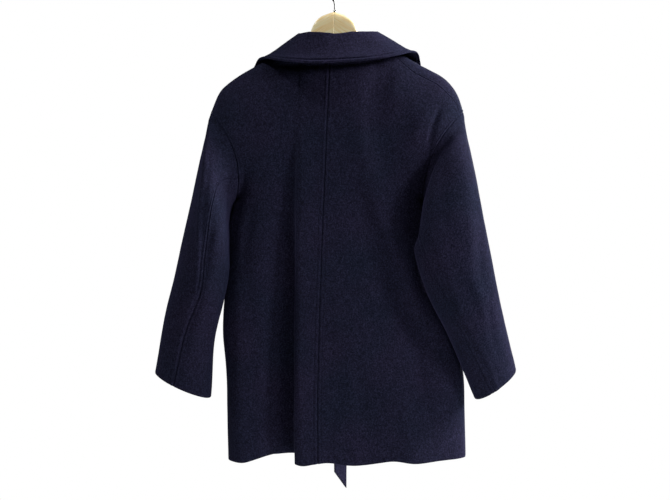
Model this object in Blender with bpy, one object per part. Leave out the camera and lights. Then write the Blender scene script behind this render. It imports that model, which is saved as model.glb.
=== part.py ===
"""A short chesterfield coat of navy double-faced wool, hanging on a wooden hanger.

Sizes are in millimetres until place() turns them into metres. x runs to the wearer's left, y to the
coat's back, and a height is measured above the hem. The part's origin is where the hook hangs on a rail.
"""

import functools
import math

import bmesh
import bpy
import numpy as np

MM = 0.001

# Driving sizes
HOOK_HEIGHT = 984.0  # from the hem up to the rail inside the hook
ARMPIT = 532.0
BREAK = 500.0  # the lapels turn back above this height
GORGE = 766.0  # the collar meets the lapels at this height on the roll line
CLOTH = 2.6  # one wall of coating wool
TURNED = 3.0  # the turned edge of a collar or lapel
SEAM = 0.4  # gap between two sewn pieces
OVERLAP = 38.0  # each front passes the middle by this much
NECK_SHARE = 0.31  # share of the back panel's top edge that is neckline
SHOULDER_ROUND = 3.0  # how tightly the cloth turns over the hanger
BELT_HEIGHT = 430.0
BELT_WIDTH = 44.0
BELT_THICK = 4.0
KNOT = (-8.0, 22.0, 13.0, 25.0)  # x of its middle, then half its width, depth and height
BUTTON_HEIGHTS = (488.0, 338.0, 188.0)
BUTTON_RADIUS = 12.5
HANGER_THICK = 14.0
WIRE = 1.9  # radius of the hook's wire
HOOK_RADIUS = 24.0


class Table:
    """Rows of sizes under named columns, read on a smooth curve along the first column."""

    def __init__(self, columns, rows):
        self.names = columns.split()
        self.values = np.array(rows, float)
        self.keys = self.values[:, 0]
        self.slopes = np.gradient(self.values, self.keys, axis=0)

    def at(self, column, key):
        keys = self.keys
        c = self.names.index(column)
        key = min(max(key, keys[0]), keys[-1])
        i = min(int(np.searchsorted(keys, key, side="right")) - 1, len(keys) - 2)
        span = keys[i + 1] - keys[i]
        u = (key - keys[i]) / span
        start = (2 * u**3 - 3 * u**2 + 1) * self.values[i, c] + (u**3 - 2 * u**2 + u) * span * self.slopes[i, c]
        end = (3 * u**2 - 2 * u**3) * self.values[i + 1, c] + (u**3 - u**2) * span * self.slopes[i + 1, c]
        return float(start + end)


# Half-widths and depths of the body's sections, and how square their corners are (1 is an ellipse)
BODY = Table(
    "height  left  right  back  front  left_corner  right_corner",
    [
        (0, 212, 260, 72, 104, 0.66, 0.66),
        (100, 214, 258, 70, 100, 0.66, 0.68),
        (190, 217, 255, 67, 95, 0.66, 0.72),
        (270, 223, 240, 64, 88, 0.68, 0.80),
        (350, 219, 215, 61, 80, 0.68, 0.86),
        (430, 212, 190, 58, 75, 0.67, 0.88),
        (500, 205, 181, 54, 76, 0.66, 0.88),
        (ARMPIT, 197, 184, 52, 76, 0.66, 0.90),
    ],
)
MIDDLE_SEAM = Table(
    "height  x",
    [(0, 34), (130, 35), (230, 33), (360, 29), (486, 25), (575, 21), (709, 17), (830, 10)],
)
# How far the hem rises and falls, by x
HEMS = {
    "back": Table("x  lift", [
        (-258, 22), (-210, 20), (-156, 16), (-113, 20), (-78, 15), (-54, 12), (-25, 12), (2, 16), (19, 17),
        (45, 14), (62, 12), (76, 14), (84, 16), (92, 22), (98, 28), (110, 30), (140, 28), (156, 22),
        (176, 15), (212, 16)]),
    "front": Table("x  lift", [(-258, 22), (-150, 16), (-60, 11), (60, 11), (150, 14), (212, 14)]),
}
# The shoulder line, from the side of the neck to the top of the armhole
SHOULDER = Table(
    "share  left  right  height_left  height_right  y",
    [
        (0.00, 70, 84, 834, 842, 2),
        (0.25, 116, 128, 820, 827, -3),
        (0.50, 160, 172, 800, 803, -8),
        (0.72, 206, 222, 772, 775, -11),
        (0.87, 232, 245, 747, 745, -11),
        (1.00, 249, 257, 706, 708, -8),
    ],
)
# Folds: half-widths right and left of the valley, where it runs, how deep it is (below 0 for a ridge) and
# how far its left side tucks in behind its right side
BACK_FOLDS = [
    (17, 36, Table("height  x  depth  tuck", [
        (0, 111, 46, 26), (60, 114, 44, 25), (120, 116, 41, 24), (240, 114, 35, 20), (360, 108, 26, 13),
        (480, 98, 15, 5), (560, 92, 8, 1), (640, 87, 3, 0), (690, 85, 0, 0)])),
    (28, 28, Table("height  x  depth  tuck", [
        (60, -172, 0, 0), (160, -172, 6, 0), (232, -166, 10, 0), (262, -160, 10, 0), (322, -124, 8, 0),
        (382, -98, 7, 0), (452, -66, 7, 0), (532, -50, 5, 0), (600, -42, 0, 0)])),
    (26, 26, Table("height  x  depth  tuck", [
        (240, -200, 0, 0), (262, -194, -5, 0), (322, -162, -6, 0), (382, -130, -6, 0), (442, -114, -7, 0),
        (532, -82, -7, 0), (600, -62, -5, 0), (660, -48, -2, 0), (700, -40, 0, 0)])),
    (46, 46, Table("height  x  depth  tuck", [
        (0, -60, 7, 0), (120, -50, 4, 0), (220, -40, 0, 0), (320, -20, -5, 0), (420, -10, 0, 0)])),
    (38, 38, Table("height  x  depth  tuck", [
        (0, -150, -8, 0), (110, -130, -7, 0), (210, -60, -4, 0), (300, -30, 0, 0)])),
    (24, 24, Table("height  x  depth  tuck", [
        (0, 158, 7, 0), (140, 162, 5, 0), (300, 166, 4, 0), (420, 160, 0, 0)])),
]
FRONT_FOLDS = [
    (26, 26, Table("height  x  depth  tuck", [
        (0, 128, 26, 0), (150, 124, 20, 0), (300, 116, 12, 0), (BELT_HEIGHT, 104, 8, 0), (560, 118, 3, 0),
        (640, 124, 0, 0)])),
    (28, 28, Table("height  x  depth  tuck", [
        (0, -146, 30, 0), (150, -140, 23, 0), (300, -126, 14, 0), (BELT_HEIGHT, -108, 9, 0),
        (560, -120, 3, 0), (640, -124, 0, 0)])),
    (20, 20, Table("height  x  depth  tuck", [
        (180, 70, 0, 0), (300, 62, 5, 0), (BELT_HEIGHT, 56, 8, 0), (500, 66, 0, 0)])),
    (20, 20, Table("height  x  depth  tuck", [
        (160, -76, 0, 0), (300, -66, 5, 0), (BELT_HEIGHT, -58, 8, 0), (510, -70, 0, 0)])),
]
# Sleeves: outer and inner edge of the ring at each share of the length, its middle and its half-depths.
# bow moves its front and back towards the body, lean only its back, tilt raises its back as the sleeve
# swings behind the body, and dip lets front and back hang lower
SLEEVES = {
    "left": Table(
        "share  outer_x  outer_h  inner_x  inner_h  y  back  front  bow  lean  tilt  dip",
        [
            (0.00, 249, 706, 197, 532, -4, 52, 54, -26, 0, 0.00, 0),
            (0.03, 251, 694, 201, 523, -3, 53, 55, -23, 0, 0.05, 0),
            (0.07, 254, 678, 206, 511, 3, 55, 57, -18, 0, 0.20, 0),
            (0.12, 257, 658, 209, 496, 14, 57, 58, -12, 0, 0.30, 0),
            (0.28, 269, 592, 208, 450, 40, 58, 56, -3, 0, 0.22, 0),
            (0.48, 293, 482, 209, 384, 45, 54, 52, 0, 0, 0.00, 0),
            (0.64, 314, 392, 220, 328, 38, 51, 50, 0, 0, -0.10, 0),
            (0.78, 336, 306, 237, 262, 24, 46, 47, 0, 0, -0.15, 1),
            (1.00, 359, 189, 247, 140, 10, 40, 40, 0, 0, -0.05, 5),
        ],
    ),
    "right": Table(
        "share  outer_x  outer_h  inner_x  inner_h  y  back  front  bow  lean  tilt  dip",
        [
            (0.00, 257, 708, 184, 532, -4, 52, 54, -28, 0, 0.00, 0),
            (0.03, 258, 695, 187, 523, -3, 53, 54, -24, 2, 0.03, 0),
            (0.07, 260, 678, 190, 511, 2, 54, 53, -16, 10, 0.16, 0),
            (0.12, 263, 656, 190, 495, 13, 56, 50, -6, 24, 0.38, 0),
            (0.28, 274, 586, 165, 453, 50, 50, 42, 0, 8, 0.62, 0),
            (0.48, 293, 474, 156, 420, 72, 46, 40, 0, 0, 0.10, 0),
            (0.64, 313, 372, 180, 345, 70, 46, 38, 0, 0, -0.15, 0),
            (0.80, 335, 282, 222, 264, 50, 44, 40, 0, 0, -0.25, 1),
            (1.00, 358, 196, 276, 139, 26, 40, 38, 0, 0, -0.10, 5),
        ],
    ),
}
# Where the two sleeve seams run, in degrees round the ring: 0 outer edge, 90 back, 180 inner, 270 front
SLEEVE_SEAMS = {
    "left": Table("share  hind  fore", [
        (0.0, 120, 242), (0.3, 92, 245), (0.5, 92, 250), (0.64, 98, 252), (0.78, 86, 254), (1.0, 74, 256)]),
    "right": Table("share  hind  fore", [
        (0.0, 150, 250), (0.3, 150, 256), (0.5, 138, 262), (0.64, 124, 266), (0.8, 118, 268), (1.0, 106, 270)]),
}
# The collar from the back's middle (0) past the side of the neck (0.5) to its front end (1): how high it
# stands, how far it turns over, where its edge lies and which way its outside faces at the neck
COLLAR = {
    "left": Table("share  stand  turn  edge_x  edge_y  edge_h  out_x  out_y  out_h", [
        (0.00, 33, 158, -6, 74, 793, 0, 1, 0), (0.20, 32, 156, 60, 71, 792, 0.25, 1, 0),
        (0.38, 30, 135, 116, 50, 800, 0.8, 0.7, 0), (0.52, 27, 120, 148, 12, 813, 1, -0.1, 0.05),
        (0.70, 18, 135, 163, -40, 803, 0.7, -0.8, 0.3), (0.85, 10, 165, 168, -74, 780, 0.4, -0.9, 0.25),
        (1.00, 5, 180, 161, -88, 757, 0.2, -1, 0.1)]),
    "right": Table("share  stand  turn  edge_x  edge_y  edge_h  out_x  out_y  out_h", [
        (0.00, 33, 158, -6, 74, 793, 0, 1, 0), (0.20, 31, 156, -74, 71, 798, -0.25, 1, 0),
        (0.38, 27, 132, -126, 50, 810, -0.8, 0.7, 0), (0.52, 22, 114, -160, 12, 826, -1, -0.1, 0.05),
        (0.70, 15, 130, -172, -40, 814, -0.7, -0.8, 0.3), (0.85, 9, 165, -170, -74, 786, -0.4, -0.9, 0.25),
        (1.00, 5, 180, -161, -88, 759, -0.2, -1, 0.1)]),
}
COLLAR_FOLD = 4.6  # outer radius of the turn
NOTCH = (124.0, 735.0)  # how far out and how high the collar and lapel part
LAPEL = Table("share  roll_h  edge_x  edge_h", [
    (0.0, 508, -20, 514), (0.2, 560, 30, 560), (0.5, 636, 92, 630), (0.8, 716, 138, 690), (1.0, GORGE - 1.6, 154, 716)])
# The hanger's outline and middle, by distance from the centre. Its left arm hangs a little lower
HANGER = Table("out  top  under  y", [
    (0, 906, 836, 0), (15, 903.6, 834, 0), (28, 896.5, 829, 0), (38, 885, 825, 0), (44, 870, 821, 0),
    (48, 855, 817, 0), (55, 840, 811, 0), (66, 828, 803, 0), (84, 820, 791, -1), (118, 811, 777, -5),
    (160, 794, 761, -10), (196, 772, 745, -14), (209, 759, 744, -16)])
HANGER_MIDDLE = 2.0
HANGER_ROLL = 0.027


def smoothstep(value, low, high):
    u = min(max((value - low) / (high - low), 0.0), 1.0)
    return u * u * (3 - 2 * u)


def mix(a, b, share):
    return a + (b - a) * share


def unit(vector):
    return vector / np.linalg.norm(vector)


def sign_of(side):
    return 1.0 if side == "left" else -1.0


# --- The body's surface ---------------------------------------------------------------------------


def ring(height, degrees):
    """The section at a height: 0 degrees is the back's middle, 90 the left side and 180 the front."""
    across = np.sin(np.radians(degrees))
    through = np.cos(np.radians(degrees))
    left = across >= 0
    corner = np.where(left, BODY.at("left_corner", height), BODY.at("right_corner", height))
    half = np.where(left, BODY.at("left", height), BODY.at("right", height))
    deep = np.where(through >= 0, BODY.at("back", height), BODY.at("front", height))
    x = np.sign(across) * half * np.abs(across) ** corner
    y = np.sign(through) * deep * np.abs(through) ** corner
    return x, y


def ring_angle(height, x):
    """How far, in degrees from the middle, the section reaches x."""
    side = "left" if x >= 0 else "right"
    corner = BODY.at(side + "_corner", height)
    return math.copysign(math.degrees(math.asin((abs(x) / BODY.at(side, height)) ** (1 / corner))), x)


def inner_edge(side, height):
    """x of a front's free edge, and above the break of the roll line, which runs on to the neck."""
    sign = sign_of(side)
    climbed = max(0.0, height - BREAK) / (SHOULDER.at("height_" + side, 0) - BREAK)
    return mix(-sign * OVERLAP, sign * SHOULDER.at(side, 0), climbed)


@functools.lru_cache(maxsize=None)
def panel_section(side, face, height):
    """One panel's section as distances walked from its middle seam or free edge, with x and y."""
    if face == "back":
        start = ring_angle(height, MIDDLE_SEAM.at("x", height))
        end = 90 if side == "left" else -90
    else:
        start = 180 - ring_angle(height, inner_edge(side, height))
        end = 90 if side == "left" else 270
    x, y = ring(height, np.linspace(start, end, 181))
    walked = np.concatenate([[0], np.cumsum(np.hypot(np.diff(x), np.diff(y)))])
    return walked, x, y


def along_ring(side, face, height, share):
    """A point of one panel's section: share 0 is its middle seam or free edge and 1 its side seam."""
    walked, x, y = panel_section(side, face, height)
    where = SEAM / 2 + share * (walked[-1] - SEAM)
    return float(np.interp(where, walked, x)), float(np.interp(where, walked, y))


def folded(face, x, y, height):
    """Moves a point of the plain surface into the folds: inwards, and sideways where a fold tucks."""
    inward = -1.0 if face == "back" else 1.0
    moved_x, moved_y = x, y
    for right, left, line in BACK_FOLDS if face == "back" else FRONT_FOLDS:
        if not line.keys[0] <= height <= line.keys[-1]:
            continue
        away = x - line.at("x", height)
        near = math.exp(-((away / (left if away > 0 else right)) ** 2))
        moved_y += inward * line.at("depth", height) * near
        moved_x -= line.at("tuck", height) * near
    return moved_x, moved_y


def sleeve_ring(side, share, degrees):
    """A point round a sleeve: 0 degrees at its outer edge, 90 behind, 180 at its inner edge."""
    sleeve = SLEEVES[side]
    turn = math.radians(degrees)
    along = (1 + math.cos(turn)) / 2
    x = mix(sleeve.at("inner_x", share), sleeve.at("outer_x", share), along)
    height = mix(sleeve.at("inner_h", share), sleeve.at("outer_h", share), along)
    depth = sleeve.at("back" if math.sin(turn) >= 0 else "front", share)
    x += math.sin(turn) ** 2 * sleeve.at("bow", share)
    x -= max(0.0, math.sin(turn)) ** 2 * sleeve.at("lean", share)
    height += sleeve.at("tilt", share) * math.sin(turn) * depth - abs(math.sin(turn)) * sleeve.at("dip", share)
    return np.array([sign_of(side) * x, sleeve.at("y", share) + math.sin(turn) * depth, height])


@functools.lru_cache(maxsize=None)
def top_line(side, face, share):
    """The panel's top edge: neckline and shoulder line on the back, shoulder line alone in front."""
    sign = sign_of(side)
    along = share
    if face == "back":
        along = (share - NECK_SHARE) / (1 - NECK_SHARE)
        if along < 0:
            turn = math.radians(90 * share / NECK_SHARE)
            neck = top_line(side, face, NECK_SHARE)
            x = mix(MIDDLE_SEAM.at("x", 830) + sign * SEAM / 2, neck[0], math.sin(turn))
            y = mix(neck[1], 46, math.cos(turn))
            return np.array([x, y, mix(826, neck[2], math.sin(turn) ** 4)])
    return np.array([
        sign * SHOULDER.at(side, along), SHOULDER.at("y", along), SHOULDER.at("height_" + side, along)])


def plain_upper(side, face, share, rise):
    """Above the armpit before the armhole pulls the panel: rise 0 is the armpit and 1 the top line."""
    ring_x, ring_y = along_ring(side, face, ARMPIT, share)
    middle_x, _ = along_ring(side, face, ARMPIT, 0)
    side_x, _ = along_ring(side, face, ARMPIT, 1)
    top = top_line(side, face, share)
    spread = mix(smoothstep(rise, 0, 1), math.sqrt(min(rise / 0.2, 1.0)), smoothstep(share, 0.75, 0.98))
    low_x = mix(ring_x, mix(middle_x, side_x, share), spread)
    over = math.sqrt(max(0.0, 1 - rise**SHOULDER_ROUND))
    return np.array([mix(low_x, top[0], rise), mix(top[1], ring_y, over), mix(ARMPIT, top[2], rise)])


def upper_body(side, face, share, rise):
    point = plain_upper(side, face, share, rise)
    turn = math.degrees(math.acos(min(max(1 - 2 * rise, -1.0), 1.0)))
    away = sleeve_ring(side, 0.0, 180 - turn if face == "back" else 180 + turn) - plain_upper(side, face, 1, rise)
    _, full = along_ring(side, face, ARMPIT, 0.3)
    _, here = along_ring(side, face, ARMPIT, share)
    flat = min(max(1 - here / full, 0.0), 1.0)
    near_seam = smoothstep(share, 0.8, 1)
    point[1] += flat * away[1] * mix(smoothstep(rise, 0, 0.35), 1, near_seam)
    point[0] += share**3 * away[0]
    return point


def layer_shift(side, x, height):
    """How far the left front lies inside the body's surface, where the right front covers it."""
    if side == "right":
        return 0.0
    cover = inner_edge("right", height)
    depth = mix(7.0, 12.0, smoothstep(height, BREAK - 90, BREAK))
    return depth * (1 - smoothstep(x, cover + 20, cover + 66)) * (1 - smoothstep(height, 700, 800))


def body_point(side, face, share, level):
    """A point of the outer surface at a level: 0 is the hem, 1 the armpit and 2 the top line."""
    if level <= 1:
        height = level * ARMPIT
        x, y = along_ring(side, face, height, share)
    else:
        x, y, height = upper_body(side, face, share, level - 1)
    fold_x, fold_y = folded(face, x, y, height)
    open_cloth = 1 - smoothstep(share, 0.86, 1.0)
    lift = HEMS[face].at("lift", x) * (1 - smoothstep(height, 0, 130))
    x, y = mix(x, fold_x, open_cloth), mix(y, fold_y, open_cloth)
    if face == "front":
        y += layer_shift(side, x, height)
    return np.array([x, y, height + lift])


def level_of(side, face, share, height):
    if height <= ARMPIT:
        return height / ARMPIT
    return 1 + (height - ARMPIT) / (top_line(side, face, share)[2] - ARMPIT)


def surface_at(side, face, x, height):
    """The outer surface's point at an x and a height, found by halving the share."""
    low, high = 0.0, 1.0
    for _ in range(18):
        share = (low + high) / 2
        point = body_point(side, face, share, level_of(side, face, share, height))
        if sign_of(side) * (x - point[0]) > 0:
            low = share
        else:
            high = share
    return point


# --- Building walls -------------------------------------------------------------------------------


def material(name, rgb, roughness, metallic=0.0):
    made = bpy.data.materials.new(name)
    made.use_nodes = True
    shader = made.node_tree.nodes["Principled BSDF"]
    shader.inputs["Base Color"].default_value = (*rgb, 1)
    shader.inputs["Roughness"].default_value = roughness
    shader.inputs["Metallic"].default_value = metallic
    return made


def place(points):
    """Millimetres above the hem turned into metres below the rail."""
    return (np.asarray(points, float) - [0, 0, HOOK_HEIGHT]) * MM


def add_object(name, points, faces, finish):
    mesh = bpy.data.meshes.new(name)
    mesh.from_pydata([tuple(p) for p in place(points)], [], faces)
    shape = bmesh.new()
    shape.from_mesh(mesh)
    bmesh.ops.recalc_face_normals(shape, faces=shape.faces)
    shape.to_mesh(mesh)
    shape.free()
    mesh.shade_smooth()
    mesh.set_sharp_from_angle(angle=math.radians(50))
    mesh.materials.append(finish)
    made = bpy.data.objects.new(name, mesh)
    bpy.context.scene.collection.objects.link(made)
    return made


def unit_rows(vectors):
    return vectors / np.linalg.norm(vectors, axis=-1, keepdims=True)


def ways_along(grid, axis):
    """The way the surface runs at each point, along the grid's rows or columns of uneven length."""
    lines = np.moveaxis(grid, axis, 0)
    steps = np.diff(lines, axis=0)
    lengths = np.linalg.norm(steps, axis=-1, keepdims=True)
    ways = steps / lengths
    inner = unit_rows(ways[:-1] * lengths[1:] + ways[1:] * lengths[:-1])
    first = unit_rows(2 * ways[:1] - inner[:1])
    last = unit_rows(2 * ways[-1:] - inner[-1:])
    return np.moveaxis(np.concatenate([first, inner, last]), 0, axis)


def normals_of(grid):
    return unit_rows(np.cross(ways_along(grid, 0), ways_along(grid, 1)))


def wall(name, outside, thickness, finish, flip=False):
    """A closed wall of cloth: the outside's grid of points, and the same grid moved in."""
    outside = np.asarray(outside, float)
    inward = normals_of(outside) if flip else -normals_of(outside)
    inside = outside + inward * thickness
    rows, columns = outside.shape[:2]
    count = rows * columns

    def corner(i, j, layer):
        return layer * count + i * columns + j

    faces = []
    for i in range(rows - 1):
        for j in range(columns - 1):
            for layer in (0, 1):
                quad = [corner(i, j, layer), corner(i, j + 1, layer)]
                quad += [corner(i + 1, j + 1, layer), corner(i + 1, j, layer)]
                faces.append(quad if layer else quad[::-1])
    border = [(0, j) for j in range(columns)] + [(i, columns - 1) for i in range(1, rows)]
    border += [(rows - 1, j) for j in range(columns - 2, -1, -1)] + [(i, 0) for i in range(rows - 2, 0, -1)]
    for here, there in zip(border, border[1:] + border[:1]):
        faces.append([corner(*here, 0), corner(*there, 0), corner(*there, 1), corner(*here, 1)])
    points = np.concatenate([outside.reshape(-1, 3), inside.reshape(-1, 3)])
    return add_object(name, points, faces, finish)


def capped_tube(name, rings, finish):
    """A closed solid through rings of points, with a flat cap at each end."""
    rings = np.asarray(rings, float)
    count, around = rings.shape[:2]
    faces = [[j for j in range(around)], [(count - 1) * around + j for j in reversed(range(around))]]
    for i in range(count - 1):
        for j in range(around):
            k = (j + 1) % around
            faces.append([i * around + j, (i + 1) * around + j, (i + 1) * around + k, i * around + k])
    return add_object(name, rings.reshape(-1, 3), faces, finish)


def crowded(count, *places):
    """Shares from 0 to 1, closer together round each place, given as its centre, strength and reach."""
    fine = np.linspace(0, 1, 401)
    density = np.ones_like(fine)
    for centre, strength, reach in places:
        density += strength * np.exp(-(((fine - centre) / reach) ** 2))
    walked = np.concatenate([[0], np.cumsum((density[1:] + density[:-1]) / 2)])
    return np.interp(np.linspace(0, walked[-1], count), walked, fine)


# --- Body panels ----------------------------------------------------------------------------------

LOWER_HEIGHTS = (0, 14, 60, 108, 156, 204, 252, 300, 346, 390, BELT_HEIGHT, 466, BREAK, ARMPIT)
UPPER_STEPS = 11
SHOULDER_GAP = {"left": 0.00003, "right": 0.0018}  # as a share of the rise, half of the seam's gap


def shoulder_seam(side, share):
    """The rise at which back and front meet. On the right the seam lies behind the shoulder's top."""
    behind = 0.085 if side == "right" else 0.0
    return 1 - behind * mix(0.15, 1, smoothstep(share, 0.0, 0.5)) * (1 - 0.5 * smoothstep(share, 0.75, 1))


def over_shoulder(side, share, beyond):
    """A point of the front that has gone this much of the rise past the top, onto the back."""
    return body_point(side, "back", mix(NECK_SHARE, 1, share), 2 - beyond)


def panel_rows(side, face, shares):
    """The panel's grid of outer points, from the hem to its top edge."""
    rows = [[body_point(side, face, s, height / ARMPIT) for s in shares] for height in LOWER_HEIGHTS]
    climb = [(1 - math.cos(math.pi * step / UPPER_STEPS)) / 2 for step in range(1, UPPER_STEPS + 1)]
    gap = SHOULDER_GAP[side]
    for climbed in climb:
        row = []
        for s in shares:
            if face == "back":
                top = shoulder_seam(side, max(0.0, (s - NECK_SHARE) / (1 - NECK_SHARE))) - gap
                row.append(body_point(side, face, s, 1 + top * climbed))
            else:
                row.append(body_point(side, face, s, 1 + (1 if side == "right" else 1 - gap) * climbed))
        rows.append(row)
    if (side, face) == ("right", "front"):
        for part in (0.5, 1):
            beyond = [part * (1 - shoulder_seam(side, s)) - gap for s in shares]
            rows.append([over_shoulder(side, s, max(b, 0)) for s, b in zip(shares, beyond)])
    return rows


def build_body(wool):
    columns = {
        ("left", "back"): crowded(21, (0.30, 3.0, 0.14), (1, 1.5, 0.1)),
        ("right", "back"): crowded(16, (1, 2.2, 0.12)),
        ("left", "front"): crowded(16, (0.55, 0.8, 0.16), (1, 2.2, 0.12)),
        ("right", "front"): crowded(16, (0.60, 0.8, 0.16), (1, 2.2, 0.12)),
    }
    for (side, face), shares in columns.items():
        flip = (side == "right") == (face == "back")
        wall(f"{face}_{side}", panel_rows(side, face, shares), CLOTH, wool, flip)


# --- Sleeves --------------------------------------------------------------------------------------

SLEEVE_STEPS = 19
SLEEVE_START = 0.0025
SEAM_DEGREES = 0.3


def build_sleeve(side, wool):
    seams = SLEEVE_SEAMS[side]
    for part, columns in (("top", 13), ("under", 9)):
        rows = []
        for share in SLEEVE_START + (1 - SLEEVE_START) * crowded(SLEEVE_STEPS, (0, 1.6, 0.2)):
            hind, fore = seams.at("hind", share), seams.at("fore", share)
            start, end = (fore - 360, hind) if part == "top" else (hind, fore)
            degrees = np.linspace(start + SEAM_DEGREES, end - SEAM_DEGREES, columns)
            rows.append([sleeve_ring(side, share, d) for d in degrees])
        wall(f"sleeve_{part}_{side}", rows, CLOTH, wool, flip=side == "right")


# --- Collar and lapels ----------------------------------------------------------------------------


def roll_point(side, height):
    """A point of a front's edge on the roll line."""
    return body_point(side, "front", 0, level_of(side, "front", 0, height))


def neckline(side, share):
    """The seam that carries the collar: round the back of the neck, then down the roll line."""
    if share < 0.5:
        return top_line(side, "back", 2 * share * NECK_SHARE)
    return roll_point(side, mix(SHOULDER.at("height_" + side, 0), GORGE, 2 * share - 1))


def turned_start(base, along, out, stand, radius, turn, share):
    """The stretch that stands up from the seam and turns over by so many degrees: share runs from 0 to 1.

    It returns the point and the way that the cloth runs on from it.
    """
    up = unit(np.cross(along, out))
    centre = base + up * (SEAM + stand - radius) + out * (radius - CLOTH)
    if share < 0.3:
        return mix(base + up * SEAM - out * CLOTH, centre - out * radius, share / 0.3), up
    angle = math.radians(turn) * (share - 0.3) / 0.7
    point = centre + radius * (up * math.sin(angle) - out * math.cos(angle))
    return point, up * math.cos(angle) + out * math.sin(angle)


def collar_edge_on_front(side, share, along_row):
    """Where the collar's front end lies over the front: towards the notch first, then to its tip."""
    table = COLLAR[side]
    start = roll_point(side, mix(SHOULDER.at("height_" + side, 0), GORGE + 1.2 * SEAM, 2 * share - 1))
    tip = np.array([table.at("edge_x", share), 0, table.at("edge_h", share)])
    straight = mix(start, tip, along_row)
    notch = np.array([sign_of(side) * NOTCH[0], 0, NOTCH[1] + 1.2 * SEAM])
    bent = mix(start, notch, along_row / 0.7) if along_row < 0.7 else mix(notch, tip, (along_row - 0.7) / 0.3)
    x, _, height = mix(straight, bent, smoothstep(share, 0.8, 1))
    return surface_at(side, "front", x, height)


def collar_point(side, share, row):
    """row 0 is the neck seam, 0.4 the end of the turn and 1 the free edge."""
    table = COLLAR[side]
    base = neckline(side, share)
    step = 0.01
    along = neckline(side, min(share + step, 1)) - neckline(side, max(share - step, 0))
    out = unit(np.array([table.at(c, share) for c in ("out_x", "out_y", "out_h")]))
    out = unit(out - unit(along) * np.dot(out, unit(along)))
    stand, turn = table.at("stand", share), table.at("turn", share)
    base = base + 1.5 * smoothstep(share, 0.42, 0.5) * unit(np.cross(sign_of(side) * along, out))
    turned = min(row / 0.4, 1)
    start, fall = turned_start(base, sign_of(side) * along, out, stand, COLLAR_FOLD, turn, turned)
    if row <= 0.4:
        return start
    across = (row - 0.4) / 0.6
    edge = np.array([table.at(c, share) for c in ("edge_x", "edge_y", "edge_h")])
    fall = fall * 0.35 * np.linalg.norm(edge - start)
    hanging = (1 - across) ** 2 * start + 2 * across * (1 - across) * (start + fall) + across**2 * edge
    on_front = smoothstep(share, 0.62, 0.9)
    if on_front == 0:
        return hanging
    lying = collar_edge_on_front(side, share, across) + out * (2 * COLLAR_FOLD - CLOTH)
    return mix(hanging, lying, on_front)


def build_collar(wool):
    shares = [("left", s) for s in np.linspace(1, 0.0, 17)] + [("right", s) for s in np.linspace(0, 1, 17)[1:]]
    rows = [0, 0.06, 0.12, 0.2, 0.26, 0.32, 0.4, 0.48, 0.58, 0.7, 0.8, 0.9, 1]
    grid = [[collar_point(side, share, row) for side, share in shares] for row in rows]
    wall("collar", grid, TURNED, wool)


def lapel_point(side, share, row):
    """share runs up the roll line from the break to the gorge; row runs out to the free edge."""
    sign = sign_of(side)
    height = LAPEL.at("roll_h", share)
    base = roll_point(side, height)
    along = roll_point(side, height - 6) - roll_point(side, height + 6)
    out = unit(np.array([sign * 0.2, -1.0, 0.1]))
    out = unit(out - unit(along) * np.dot(out, unit(along)))
    if row <= 0.4:
        return turned_start(base, sign * along, out, COLLAR_FOLD + 1, COLLAR_FOLD, 180, row / 0.4)[0]
    across = (row - 0.4) / 0.6
    x = mix(base[0], sign * LAPEL.at("edge_x", share), across)
    lying = surface_at(side, "front", x, mix(height, LAPEL.at("edge_h", share), across))
    return lying + out * (2 * COLLAR_FOLD - CLOTH)


def build_lapel(side, wool):
    rows = [0, 0.12, 0.2, 0.26, 0.32, 0.4, 0.5, 0.62, 0.75, 0.88, 1]
    shares = np.linspace(0, 1, 13)
    grid = [[lapel_point(side, share, row) for share in shares] for row in rows]
    wall(f"lapel_{side}", grid, TURNED, wool, flip=side == "right")


# --- Belt and buttons -----------------------------------------------------------------------------


def belt_stretch(side, wool):
    """The belt from a side seam to the knot, over the widest part of the front's section."""
    sign = sign_of(side)
    knot_edge = KNOT[0] + sign * (KNOT[1] + SEAM)
    grid = []
    for share in np.linspace(0, 1, 15):
        row = []
        for across in np.linspace(-1, 1, 4):
            narrow = mix(1, 0.72, smoothstep(share, 0.6, 1))
            height = BELT_HEIGHT + 5 * (1 - share) + across * BELT_WIDTH / 2 * narrow
            degrees = mix(180 - sign * 80, 180 - ring_angle(height, knot_edge), share)
            x, y = ring(height, np.array([degrees, degrees + 0.5]))
            away = unit(np.array([-(y[1] - y[0]), x[1] - x[0]]))
            row.append([x[0] + away[0] * (1 + BELT_THICK), y[0] + away[1] * (1 + BELT_THICK), height])
        grid.append(row)
    wall(f"belt_{side}", grid, BELT_THICK, wool, flip=side == "left")


def belt_end(name, line, wool):
    """A hanging end: the line gives, by share, its middle, how far it stands off and how it is twisted."""
    grid = []
    for share in np.linspace(0, 1, 22):
        x, height, twist = line.at("x", share), line.at("height", share), math.radians(line.at("twist", share))
        slant = line.at("slant", share)
        front = BODY.at("front", max(height, 0))
        y = -front - line.at("off", share)
        row = []
        for across in np.linspace(-1, 1, 4):
            wide = across * BELT_WIDTH / 2
            row.append([x + wide * math.cos(twist), y + wide * math.sin(twist), height + slant * across])
        grid.append(row)
    wall(name, grid, BELT_THICK, wool)


LONG_END = Table("share  x  height  off  twist  slant", [
    (0.0, -12, 402, 9, 0, 0), (0.15, -12, 345, 11, 2, 0), (0.48, -11, 190, 14, 8, 0), (0.7, -10, 85, 21, 35, 0),
    (0.85, -10, 8, 25, 52, 4), (0.93, -10, -26, 26, 55, 12), (1.0, -10, -50, 26, 56, 20)])
SHORT_END = Table("share  x  height  off  twist  slant", [
    (0.0, 2, 402, 16, 0, 0), (0.2, 12, 340, 18, -2, 0), (0.6, 26, 190, 20, -4, 0), (0.9, 34, 75, 18, -6, 0),
    (1.0, 36, 44, 17, -6, 16)])


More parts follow.
